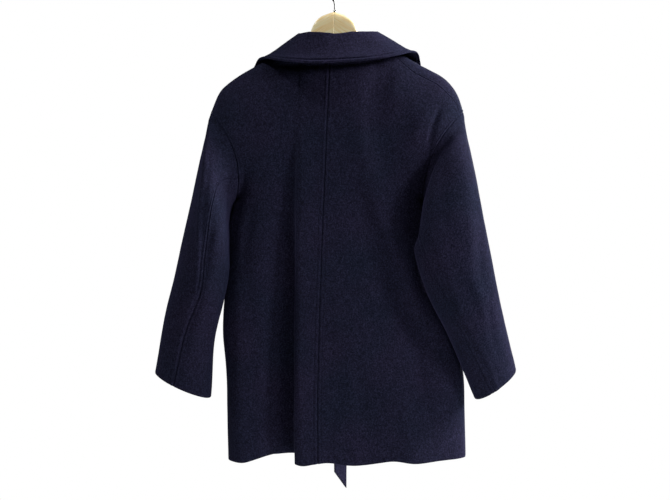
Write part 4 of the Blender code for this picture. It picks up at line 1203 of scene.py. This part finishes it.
def make_knot():
    """The tied knot: a flat band that slants down over the front, with the belt gathered behind it."""
    middle, half_x, half_y, half_h = KNOT
    y = -BODY.at("front", BELT_HEIGHT) - 2 - half_y
    around, rows = 96, 72
    points = []
    for i in range(rows):
        share = math.sin(math.pi * (i / (rows - 1) - 0.5))
        close = (1 - abs(share) ** 5.0) ** 0.4 * 0.84 + 0.16
        for j in range(around):
            turn = 2 * math.pi * j / around
            side_x, side_y = squared(math.cos(turn), 0.5), squared(math.sin(turn), 0.6)
            slant = share - 0.5 * side_x
            from_band = abs(slant + 0.04)
            band = 1 - smoothstep(from_band, 0.46, 0.62)
            tuck = math.exp(-(((from_band - 0.60) / 0.08) ** 2))
            pleat = math.cos((share + 0.8 * side_x) * 9.0) * (1 - band)
            lift = 0.17 * band - 0.20 * tuck + 0.07 * pleat - 0.05 * band * math.cos(slant * 11.0)
            points.append([
                middle + half_x * side_x * close * (1 + 0.25 * lift),
                y + half_y * side_y * close * (1 + lift), BELT_HEIGHT + half_h * share + 2.0 * side_x])
    faces = tube_ends(rows, around) + tube_faces(rows, around)
    knot = add_piece("wool_belt_knot", np.array(points), faces, wool_melton())
    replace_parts(knot, "belt_knot")


# --- Materials ------------------------------------------------------------------------------------


def linear(colour):
    """A colour picked in sRGB, as the straight light values that shaders take."""
    return [c / 12.92 if c <= 0.04045 else ((c + 0.055) / 1.055) ** 2.4 for c in colour[:3]] + [1.0]


def from_hex(code):
    return [int(code[i:i + 2], 16) / 255 for i in (1, 3, 5)]


def set_inputs(tree, made, **inputs):
    """Sets or links a node's inputs by name, with _ for a space, or by their number after a _."""
    for name, value in inputs.items():
        key = int(name[1:]) if name[1:].isdigit() else name.replace("_", " ")
        if isinstance(value, bpy.types.NodeSocket):
            tree.links.new(value, made.inputs[key])
        else:
            made.inputs[key].default_value = value


def node(tree, kind, settings=None, **inputs):
    """Adds a node with its settings and its inputs."""
    made = tree.nodes.new(kind)
    for name, value in (settings or {}).items():
        setattr(made, name, value)
    set_inputs(tree, made, **inputs)
    return made


def new_material(name):
    made = bpy.data.materials.new(name)
    made.use_nodes = True
    tree = made.node_tree
    return made, tree, tree.nodes["Principled BSDF"]


def object_places(tree, scale=(1, 1, 1), slope=0.0):
    """Object coordinates in millimetres, turned down by a slope about Y, then stretched along each axis."""
    places = node(tree, "ShaderNodeTexCoord").outputs["Object"]
    if slope:
        places = node(tree, "ShaderNodeMapping", Vector=places, Rotation=(0, -slope, 0)).outputs["Vector"]
    millimetres = [1000 * s for s in scale]
    return node(tree, "ShaderNodeMapping", Vector=places, Scale=millimetres).outputs["Vector"]


def noise_at(tree, size, stretch=(1, 1, 1), slope=0.0, **inputs):
    """Noise with grains of a size in millimetres, longer along the axes where stretch is below 1."""
    places = object_places(tree, stretch, slope)
    return node(tree, "ShaderNodeTexNoise", Vector=places, Scale=1 / size, **inputs).outputs["Fac"]


def worked_out(tree, operation, *values):
    inputs = {f"_{number}": value for number, value in enumerate(values)}
    return node(tree, "ShaderNodeMath", {"operation": operation}, **inputs).outputs[0]


def mixed(tree, blend, share, first, second):
    """The first colour mixed with a share of the second, or multiplied by it."""
    settings = {"data_type": "RGBA", "blend_type": blend}
    return node(tree, "ShaderNodeMix", settings, _0=share, _6=first, _7=second).outputs[2]


def raised(tree, height, strength, distance):
    """Normals bent as if the height stood up by a distance in metres."""
    made = node(tree, "ShaderNodeBump", Height=height, Strength=strength, Distance=distance)
    return made.outputs["Normal"]


def ramp(tree, factor, stops):
    """Colours along a factor: each stop is its place and a colour as shaders take it or as a hex code."""
    made = node(tree, "ShaderNodeValToRGB", Fac=factor)
    elements = made.color_ramp.elements
    while len(elements) < len(stops):
        elements.new(0.5)
    for element, (position, colour) in zip(elements, stops):
        element.position = position
        element.color = linear(from_hex(colour)) if isinstance(colour, str) else colour
    return made.outputs["Color"]


@functools.lru_cache(maxsize=None)
def wool_melton():
    """Brushed and felted coating wool: very dark, matt, with a fine nap that catches light at its edges."""
    made, tree, shader = new_material("brushed navy melton wool")
    c = colours()
    # Clumps of nap are 1 to 3 mm across, felted together and only slightly longer down the cloth
    nap = noise_at(tree, 2.4, Detail=5.0, Roughness=0.78)
    brushed = noise_at(tree, 3.4, (1, 1, 0.55), Detail=3.0)
    clumps = worked_out(tree, "MULTIPLY_ADD", nap, 0.68, worked_out(tree, "MULTIPLY", brushed, 0.16))
    # Single fibres lie every way over the clumps
    crossed = noise_at(tree, 0.7, (0.4, 1, 1), Detail=2.0)
    upright = noise_at(tree, 0.8, (1, 1, 0.4), Detail=2.0)
    strands = worked_out(tree, "MAXIMUM", crossed, upright)
    tufts = worked_out(tree, "MULTIPLY_ADD", strands, 0.15, clumps)
    fibres = ramp(tree, tufts, [
        (0.39, linear(c.wool_dark)), (0.50, linear(c.wool)), (0.61, linear(c.wool_light))])
    # Soft clouds about 120 mm across of painted light and shade: lighter, bluer patches and darker, more
    # violet ones, as uneven light would tint the cloth
    clouds = noise_at(tree, 120.0, Detail=3.0)
    painted_light_tint = ramp(tree, clouds, [(0.34, (0.76, 0.92, 0.90, 1)), (0.66, (1.12, 1.02, 1.06, 1))])
    # Here and there a paler fibre shows
    lint = node(tree, "ShaderNodeTexVoronoi", Vector=object_places(tree, (1, 1, 0.45)), Scale=1 / 9.0)
    specks = ramp(tree, lint.outputs["Distance"], [(0.0, (1, 1, 1, 1)), (0.045, (0, 0, 0, 1))])
    # The fibres' colours under the clouds of painted light and shade
    fibres_under_painted_light = mixed(tree, "MULTIPLY", 1.0, fibres, painted_light_tint)
    flecked = mixed(tree, "MIX", specks, fibres_under_painted_light, linear(from_hex("#34344c")))
    set_inputs(
        tree, shader, Base_Color=flecked, Roughness=0.93, Specular_IOR_Level=0.05, Sheen_Weight=c.sheen,
        Sheen_Roughness=0.42, Sheen_Tint=linear(from_hex("#7f80c8")),
        Normal=raised(tree, tufts, 0.7, sizes().nap))
    return made


@functools.lru_cache(maxsize=None)
def varnished_beech(side):
    """Pale beech, sawn, sanded and varnished: straight grain along the arm, flecks and a satin coat."""
    made, tree, shader = new_material(f"clear varnished pale beech {side}")
    c = colours()
    slope = sign_of(side) * GRAIN_SLOPE
    wander = noise_at(tree, 1.0, (0.012, 0.04, 0.04), slope, Detail=2.0)
    grain = noise_at(tree, 1.0, (0.016, 0.42, 0.42), slope, Detail=6.0, Roughness=0.6, Distortion=0.4)
    flecks = noise_at(tree, 1.0, (0.12, 1.9, 1.9), slope, Detail=2.0)
    wood = ramp(tree, grain, [
        (0.34, linear(c.wood_dark)), (0.50, linear(c.wood)), (0.66, linear(c.wood_light))])
    warm = ramp(tree, wander, [(0.40, (1.0, 0.86, 0.72, 1)), (0.60, (1.0, 1.0, 1.0, 1))])
    dark = ramp(tree, flecks, [(0.64, (1, 1, 1, 1)), (0.74, (0.82, 0.70, 0.55, 1))])
    toned = mixed(tree, "MULTIPLY", 1.0, wood, warm)
    set_inputs(
        tree, shader, Base_Color=mixed(tree, "MULTIPLY", 1.0, toned, dark), Roughness=0.42, Coat_Weight=0.45,
        Coat_Roughness=0.22, Normal=raised(tree, flecks, 0.25, 0.0002))
    return made


@functools.lru_cache(maxsize=None)
def plated_steel():
    """Drawn steel wire, bright plated: mirror-like with faint rub marks round the bend."""
    made, tree, shader = new_material("bright plated steel wire")
    rubs = noise_at(tree, 1.0, (0.9, 0.9, 0.12), Detail=4.0)
    rough = node(tree, "ShaderNodeMapRange", Value=rubs, To_Min=0.14, To_Max=0.34).outputs["Result"]
    tone = ramp(tree, rubs, [(0.35, "#b9bab8"), (0.65, "#dcdcd8")])
    set_inputs(tree, shader, Base_Color=tone, Roughness=rough, Metallic=1.0)
    return made


@functools.lru_cache(maxsize=None)
def dark_horn():
    """Polyester cast to look like horn and turned: nearly black, with brown clouds and a soft polish."""
    made, tree, shader = new_material("turned imitation horn")
    clouds = noise_at(tree, 6.0, (1, 1, 0.4), Detail=4.0, Distortion=1.4)
    tone = ramp(tree, clouds, [(0.35, linear(colours().button)), (0.58, "#241f24"), (0.72, "#3a3030")])
    turned = noise_at(tree, 0.5, Detail=2.0)
    rough = node(tree, "ShaderNodeMapRange", Value=turned, To_Min=0.24, To_Max=0.40).outputs["Result"]
    set_inputs(tree, shader, Base_Color=tone, Roughness=rough)
    return made


@functools.lru_cache(maxsize=None)
def waxed_thread():
    """Twisted sewing thread, waxed: dark, slightly shiny, with a twist about a millimetre long."""
    made, tree, shader = new_material("waxed navy thread")
    wave = node(tree, "ShaderNodeTexWave", Vector=object_places(tree), Scale=1 / 0.9, Distortion=0.6)
    twist = wave.outputs["Fac"]
    tone = ramp(tree, twist, [(0.2, "#0e0e18"), (0.8, "#262638")])
    set_inputs(tree, shader, Base_Color=tone, Roughness=0.6, Normal=raised(tree, twist, 0.5, 0.0002))
    return made


@functools.lru_cache(maxsize=None)
def pale_floor():
    """Painted floor: near white and quite matt, with a faint roller texture."""
    made, tree, shader = new_material("pale painted floor")
    tone = ramp(tree, noise_at(tree, 180.0, Detail=3.0), [(0.3, "#eeeeec"), (0.7, "#f6f6f4")])
    set_inputs(tree, shader, Base_Color=tone, Roughness=0.7)
    return made


# --- Buttons and hanger ---------------------------------------------------------------------------

# In metres, as Blender's own tools take them
BUTTON_RADIUS = 0.0125
BUTTON_DEEP = 0.0038
BUTTON_OFF = 0.0028  # how far its middle stands off the cloth
BUTTON_EDGE = 0.0006
# Each step in from its edge: how wide it is and how deep it goes
BUTTON_STEPS = ((0.0026, 0.0), (0.0007, -0.0009), (0.0040, -0.0002))
HOLE_RADIUS = 0.0011
HOLE_OUT = 0.0024  # how far each hole lies from the middle, both ways
THREAD_RADIUS = 0.00062
SHANK_RADIUS = 0.0021
SHANK_LONG = 0.0028
FERRULE = 0.0036  # both its radius and its height
FACING_FRONT = (math.radians(90), 0, 0)
# In millimetres: a buttonhole's middle from the coat's, its half-length, half-width and the lip's radius
BUTTONHOLE = (10.5, 6.5, 1.5, 0.85)


def select_none():
    if bpy.context.object is not None and bpy.context.object.mode != "OBJECT":
        bpy.ops.object.mode_set(mode="OBJECT")
    bpy.ops.object.select_all(action="DESELECT")


def select_only(piece):
    select_none()
    piece.select_set(True)
    bpy.context.view_layer.objects.active = piece


def settle(piece, name, finish):
    """Names a modelled piece, applies its place, smooths it and gives it its finish."""
    piece.name = name
    piece.data.name = name
    select_only(piece)
    bpy.ops.object.transform_apply(location=True, rotation=True, scale=True)
    bpy.ops.object.shade_smooth_by_angle(angle=math.radians(35))
    piece.data.materials.clear()
    piece.data.materials.append(finish)
    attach(piece, "root")
    return piece


def apply_modifier(piece, kind, **settings):
    made = piece.modifiers.new(kind.lower(), kind)
    for name, value in settings.items():
        setattr(made, name, value)
    select_only(piece)
    bpy.ops.object.modifier_apply(modifier=made.name)


def pick_faces(piece, test):
    """Leaves the piece in edit mode with only the faces selected whose normal passes a test."""
    bpy.ops.object.mode_set(mode="EDIT")
    bpy.ops.mesh.select_mode(type="FACE")
    bpy.ops.mesh.select_all(action="DESELECT")
    bpy.ops.object.mode_set(mode="OBJECT")
    for face in piece.data.polygons:
        face.select = test(face.normal)
    bpy.ops.object.mode_set(mode="EDIT")


def round_off(piece, width, segments, degrees):
    apply_modifier(piece, "BEVEL", width=width, segments=segments, limit_method="ANGLE",
                   angle_limit=math.radians(degrees))


def make_button(number, height):
    """A turned button with a rim, a dished middle and four holes, sewn on with two bars of thread."""
    cloth = Vector(place(surface_at("right", "front", 0.0, height)).tolist())
    middle = cloth + Vector((0, -BUTTON_OFF, 0))
    select_none()
    bpy.ops.mesh.primitive_cylinder_add(
        vertices=56, radius=BUTTON_RADIUS, depth=BUTTON_DEEP, location=(0, 0, 0))
    button = bpy.context.object
    pick_faces(button, lambda normal: normal.z > 0.9)
    for wide, deep in BUTTON_STEPS:
        bpy.ops.mesh.inset(thickness=wide, depth=deep)
    bpy.ops.object.mode_set(mode="OBJECT")
    round_off(button, BUTTON_EDGE, 3, 40)
    for x, y in ((-1, -1), (-1, 1), (1, -1), (1, 1)):
        select_none()
        bpy.ops.mesh.primitive_cylinder_add(
            vertices=16, radius=HOLE_RADIUS, depth=0.02, location=(x * HOLE_OUT, y * HOLE_OUT, 0))
        cutter = bpy.context.object
        apply_modifier(button, "BOOLEAN", operation="DIFFERENCE", object=cutter, solver="EXACT")
        bpy.data.objects.remove(cutter, do_unlink=True)
    button.rotation_euler = FACING_FRONT
    button.location = middle
    settle(button, f"button_turned_{number}", dark_horn())
    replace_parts(button, f"button_{number}")
    make_button_thread(number, middle)


def make_button_thread(number, middle):
    """Two bars of thread between the holes, and the short wound shank behind them."""
    bars = []
    for side in (-1, 1):
        select_none()
        bpy.ops.mesh.primitive_torus_add(
            major_segments=28, minor_segments=10, major_radius=HOLE_OUT, minor_radius=THREAD_RADIUS,
            location=(middle.x + side * HOLE_OUT, middle.y - 0.0004, middle.z),
            rotation=(0, math.radians(90), 0))
        bar = bpy.context.object
        bar.scale = (1.0, 0.62, 1.0)
        bars.append(bar)
    select_none()
    bpy.ops.mesh.primitive_cylinder_add(
        vertices=20, radius=SHANK_RADIUS, depth=SHANK_LONG, location=middle + Vector((0, 0.0015, 0)),
        rotation=FACING_FRONT)
    shank = bpy.context.object
    pick_faces(shank, lambda normal: abs(normal.z) > 0.9)
    bpy.ops.transform.resize(value=(1.35, 1.35, 1.0))
    bpy.ops.object.mode_set(mode="OBJECT")
    for bar in bars:
        bar.select_set(True)
    bpy.ops.object.join()
    settle(shank, f"button_thread_{number}", waxed_thread())


def make_buttonhole(number, height):
    """A hand-worked buttonhole: a raised lip of close stitches, running out from under the button's rim."""
    middle, half_long, half_wide, lip = BUTTONHOLE
    rows, around = 56, 10
    points = []
    for i in range(rows):
        turn = 2 * math.pi * i / rows
        out_x, out_h = math.cos(turn), math.sin(turn)
        x = middle + half_long * squared(out_x, 0.7)
        spot = surface_at("right", "front", x, height + half_wide * out_h)
        radius = lip + 0.12 * math.cos(turn * 28)
        for j in range(around):
            small = 2 * math.pi * j / around
            side_way = math.cos(small) * radius
            points.append([spot[0] + out_x * side_way, spot[1] - math.sin(small) * radius * 0.7,
                           spot[2] + out_h * side_way])
    faces = tube_faces(rows, around, closed=True)
    add_piece(f"buttonhole_{number}", np.array(points), faces, waxed_thread())


def make_ferrule():
    """The small turned collar where the hook's wire enters the wood."""
    foot = (HANGER.at("top", 6) - HOOK_HEIGHT) / 1000
    select_none()
    bpy.ops.mesh.primitive_cylinder_add(
        vertices=36, radius=FERRULE, depth=FERRULE, location=(0, 0, foot + FERRULE / 2))
    ferrule = bpy.context.object
    pick_faces(ferrule, lambda normal: normal.z > 0.9)
    bpy.ops.mesh.inset(thickness=0.0008)
    bpy.ops.transform.translate(value=(0, 0, 0.0012))
    bpy.ops.object.mode_set(mode="OBJECT")
    round_off(ferrule, 0.0004, 2, 35)
    settle(ferrule, "hook_ferrule", plated_steel())


# The hanger's outline and middle in millimetres, by distance from its centre
HANGER = Table("out  top  under  y", [
    (0, 907.6, 836, 0), (6, 906.4, 835.5, 0), (14, 903.8, 834, 0), (27, 898.4, 829, 0), (36, 890.5, 826, 0),
    (43, 879, 822, 0), (47.5, 866, 818, 0), (52, 849, 813, 0), (58, 837, 808, 0), (68, 827, 801, 0),
    (84, 820, 791, -1), (118, 811, 777, -5), (160, 794, 761, -10), (196, 772, 745, -14),
    (209, 759, 744, -16)])
HANGER_MIDDLE = 2.0  # x of its middle
HANGER_ROLL = 0.027  # how far it leans, left end down, as a slope
HANGER_THICK = 14.0
HANGER_TIP = 209.0  # where its rounded tip starts
# The rounding of the tip, and of the glued joint in the middle, as shares of the full section
TIP_ROUND = ((209.0, 1.0), (211.0, 0.93), (212.6, 0.82), (213.4, 0.66), (213.8, 0.40))
JOINT_ROUND = ((0.04, 0.975), (0.6, 1.0))
GRAIN_SLOPE = math.radians(31)  # how steeply the grain runs down each arm


def make_hanger_arm(side):
    """One arm, cut from a board and rounded over, from the glued joint in the middle to its tip."""
    sign = sign_of(side)
    middle_outs = np.concatenate([np.linspace(2.5, 60, 34), np.linspace(64, 206, 36)])
    rings = [*JOINT_ROUND, *((out, 1.0) for out in middle_outs), *TIP_ROUND]
    around = 36
    points = []
    for out, ratio in rings:
        top, under, y = (HANGER.at(column, min(out, HANGER_TIP)) for column in ("top", "under", "y"))
        middle, half = (top + under) / 2, (top - under) / 2
        narrow = ratio if out > 200 else 1 - (1 - ratio) * 0.4
        for j in range(around):
            turn = 2 * math.pi * (j + 0.5) / around
            deep = squared(math.cos(turn), 0.5) * HANGER_THICK / 2 * ratio
            tall = squared(math.sin(turn), 0.40) * half * narrow
            points.append([HANGER_MIDDLE + sign * out, y + deep, middle + tall - HANGER_ROLL * sign * out])
    faces = tube_faces(len(rings), around) + tube_ends(len(rings), around)
    arm = add_piece(f"beech_arm_{side}", np.array(points), faces, varnished_beech(side))
    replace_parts(arm, f"hanger_arm_{side}")


def finish_cad_node(name, finish):
    """Gives a carried-over solid its finish."""
    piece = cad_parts[name]
    piece.data.materials.clear()
    piece.data.materials.append(finish)


# --- What a user would change ---------------------------------------------------------------------


class CoatSizes(bpy.types.PropertyGroup):
    cloth: bpy.props.FloatProperty(
        name="Cloth", description="Thickness of the coating wool", default=0.0026, unit="LENGTH")
    nap: bpy.props.FloatProperty(
        name="Nap", description="Height of the brushed nap's tufts", default=0.0006, unit="LENGTH")
    seam_groove: bpy.props.FloatProperty(
        name="Seam groove", description="How deep a seam sinks into the cloth", default=0.0013,
        unit="LENGTH")
    welt: bpy.props.FloatProperty(
        name="Seam welt", description="How high the felled seam stands beside its groove", default=0.0006,
        unit="LENGTH")
    pick_depth: bpy.props.FloatProperty(
        name="Edge stitches", description="How deep the stitches beside an edge sink", default=0.0007,
        unit="LENGTH")


class CoatColours(bpy.types.PropertyGroup):
    wool: bpy.props.FloatVectorProperty(
        name="Wool", description="The wool's main colour", subtype="COLOR_GAMMA",
        default=from_hex("#171728"))
    wool_dark: bpy.props.FloatVectorProperty(
        name="Wool, deep", description="The colour between the nap's tufts", subtype="COLOR_GAMMA",
        default=from_hex("#080811"))
    wool_light: bpy.props.FloatVectorProperty(
        name="Wool, tips", description="The colour of the nap's tips", subtype="COLOR_GAMMA",
        default=from_hex("#2a2a40"))
    sheen: bpy.props.FloatProperty(
        name="Sheen", description="How much light the nap catches at grazing angles", default=0.08,
        subtype="FACTOR", min=0, max=1)
    button: bpy.props.FloatVectorProperty(
        name="Button", description="The buttons' main colour", subtype="COLOR_GAMMA",
        default=from_hex("#121118"))
    wood: bpy.props.FloatVectorProperty(
        name="Wood", description="The hanger's main colour", subtype="COLOR_GAMMA",
        default=from_hex("#fff4c4"))
    wood_dark: bpy.props.FloatVectorProperty(
        name="Wood, grain", description="The colour of the grain lines", subtype="COLOR_GAMMA",
        default=from_hex("#f6dc9c"))
    wood_light: bpy.props.FloatVectorProperty(
        name="Wood, light", description="The colour between the grain lines", subtype="COLOR_GAMMA",
        default=from_hex("#fffbe0"))


# --- Operators ------------------------------------------------------------------------------------


class MakeBack(bpy.types.Operator):
    """Make the coat's back from its two panels"""

    bl_idname = "chesterfield.make_back"
    bl_label = "Back"

    def execute(self, context):
        for side in SIDES:
            make_panel(side, "back")
        return {"FINISHED"}


class MakeFronts(bpy.types.Operator):
    """Make both fronts and line the body's seams"""

    bl_idname = "chesterfield.make_fronts"
    bl_label = "Fronts"

    def execute(self, context):
        for side in SIDES:
            make_panel(side, "front")
        body_strips()
        return {"FINISHED"}


class MakeSleeves(bpy.types.Operator):
    """Make the two-part sleeves"""

    bl_idname = "chesterfield.make_sleeves"
    bl_label = "Sleeves"

    def execute(self, context):
        for side in SIDES:
            for part in ("top", "under"):
                make_sleeve(side, part)
            sleeve_strips(side)
        return {"FINISHED"}


class MakeCollar(bpy.types.Operator):
    """Make the collar and the lapels"""

    bl_idname = "chesterfield.make_collar"
    bl_label = "Collar and lapels"

    def execute(self, context):
        make_collar()
        neck_strips()
        for side in SIDES:
            make_lapel(side)
        return {"FINISHED"}


class MakeBelt(bpy.types.Operator):
    """Make the tied belt"""

    bl_idname = "chesterfield.make_belt"
    bl_label = "Belt"

    def execute(self, context):
        for side in SIDES:
            make_belt_stretch(side)
        make_belt_end("belt_end_long", LONG_END, 4)
        make_belt_end("belt_end_short", SHORT_END, 9)
        make_knot()
        return {"FINISHED"}


class MakeButtons(bpy.types.Operator):
    """Make the buttons and their buttonholes"""

    bl_idname = "chesterfield.make_buttons"
    bl_label = "Buttons"

    def execute(self, context):
        for number, height in enumerate(BUTTON_HEIGHTS, start=1):
            make_button(number, height)
            make_buttonhole(number, height)
        return {"FINISHED"}


class MakeHanger(bpy.types.Operator):
    """Make the wooden hanger and finish its hook"""

    bl_idname = "chesterfield.make_hanger"
    bl_label = "Hanger"

    def execute(self, context):
        for side in SIDES:
            make_hanger_arm(side)
        finish_cad_node("hanger_hook", plated_steel())
        make_ferrule()
        return {"FINISHED"}


class DeclareCloth(bpy.types.Operator):
    """Does nothing: no cut size and nothing the cloth hangs from is said here"""

    bl_idname = "chesterfield.declare_cloth"
    bl_label = "Cloth sizes"

    def execute(self, context):
        return {"FINISHED"}


class MakeStage(bpy.types.Operator):
    """Make the floor, the lights and the camera"""

    bl_idname = "chesterfield.make_stage"
    bl_label = "Stage"

    def execute(self, context):
        make_floor()
        make_lights()
        make_camera()
        return {"FINISHED"}


# --- Stage ----------------------------------------------------------------------------------------

EYE_HEIGHT = (432.0 - HOOK_HEIGHT) / 1000  # the photograph looks level at this height
EYE_BACK = 2.6  # how far behind the hook the camera stands
SEEN_WIDE = 1.34  # metres across the picture at the coat
AMBIENT = 0.03  # how bright the white surroundings are as a light
FLOOR = -1.62
# The lamps, which all face the coat's middle: where each stands, its width and height, and its power
LAMPS = (
    ("softbox_back_left", (2.2, 0.4, 2.2), (0.5, 0.5), 60),
    ("softbox_back_right", (-2.9, -0.1, 1.1), (0.4, 0.9), 205),
    ("softbox_front", (-1.8, -2.8, 0.8), (1.2, 1.6), 80),
    ("softbox_top", (-0.3, 1.2, 2.4), (0.5, 0.5), 20),
    ("softbox_fill", (-2.5, 1.5, 0.5), (0.5, 0.5), 46),
    ("softbox_low", (-0.9, 1.4, -1.45), (0.5, 0.5), 6),
)


def make_floor():
    select_none()
    bpy.ops.mesh.primitive_plane_add(size=4.0, location=(0, 0, FLOOR))
    floor = bpy.context.object
    floor.name = "floor"
    floor.data.materials.append(pale_floor())


def soft_light(name, place_at, size, power):
    data = bpy.data.lights.new(name, "AREA")
    data.shape = "RECTANGLE"
    data.size, data.size_y = size
    data.energy = power
    lamp = bpy.data.objects.new(name, data)
    lamp.location = place_at
    lamp.rotation_mode = "QUATERNION"
    lamp.rotation_quaternion = (Vector((0, 0, EYE_HEIGHT)) - Vector(place_at)).to_track_quat("-Z", "Y")
    bpy.context.scene.collection.objects.link(lamp)


def make_lights():
    for lamp in LAMPS:
        soft_light(*lamp)
    world = bpy.data.worlds.new("white studio")
    world.use_nodes = True
    tree = world.node_tree
    seen = node(tree, "ShaderNodeLightPath").outputs["Is Camera Ray"]
    strength = node(tree, "ShaderNodeMapRange", Value=seen, To_Min=AMBIENT, To_Max=1.0).outputs["Result"]
    set_inputs(tree, tree.nodes["Background"], Color=(1, 1, 1, 1), Strength=strength)
    scene = bpy.context.scene
    scene.world = world
    scene.view_settings.view_transform = "Standard"


def make_camera():
    data = bpy.data.cameras.new("camera")
    data.sensor_width = 36.0
    data.lens = data.sensor_width * EYE_BACK / SEEN_WIDE
    camera = bpy.data.objects.new("camera", data)
    camera.location = (0, EYE_BACK, EYE_HEIGHT)
    camera.rotation_euler = (math.radians(90), 0, math.radians(180))
    bpy.context.scene.collection.objects.link(camera)
    bpy.context.scene.camera = camera


class CoatPanel(bpy.types.Panel):
    """Lists the coat's sizes, colours and pieces"""

    bl_idname = "VIEW3D_PT_chesterfield"
    bl_label = "Chesterfield coat"
    bl_space_type = "VIEW_3D"
    bl_region_type = "UI"
    bl_category = "Coat"

    def draw(self, context):
        scene = context.scene
        for group in (scene.chesterfield_sizes, scene.chesterfield_colours):
            column = self.layout.column()
            for name in group.__annotations__:
                column.prop(group, name)
        for operator in PIECES:
            self.layout.operator(operator.bl_idname)


PIECES = (
    MakeStage, MakeBack, MakeFronts, MakeSleeves, MakeCollar, MakeBelt, MakeButtons, MakeHanger,
    DeclareCloth)
CLASSES = (CoatSizes, CoatColours) + PIECES + (CoatPanel,)


def register():
    for made in CLASSES:
        bpy.utils.register_class(made)
    bpy.types.Scene.chesterfield_sizes = bpy.props.PointerProperty(type=CoatSizes)
    bpy.types.Scene.chesterfield_colours = bpy.props.PointerProperty(type=CoatColours)


def unregister():
    del bpy.types.Scene.chesterfield_colours
    del bpy.types.Scene.chesterfield_sizes
    for made in reversed(CLASSES):
        bpy.utils.unregister_class(made)


def main():
    register()
    for operator in PIECES:
        group, name = operator.bl_idname.split(".")
        getattr(getattr(bpy.ops, group), name)()


if __name__ == "__main__":
    main()
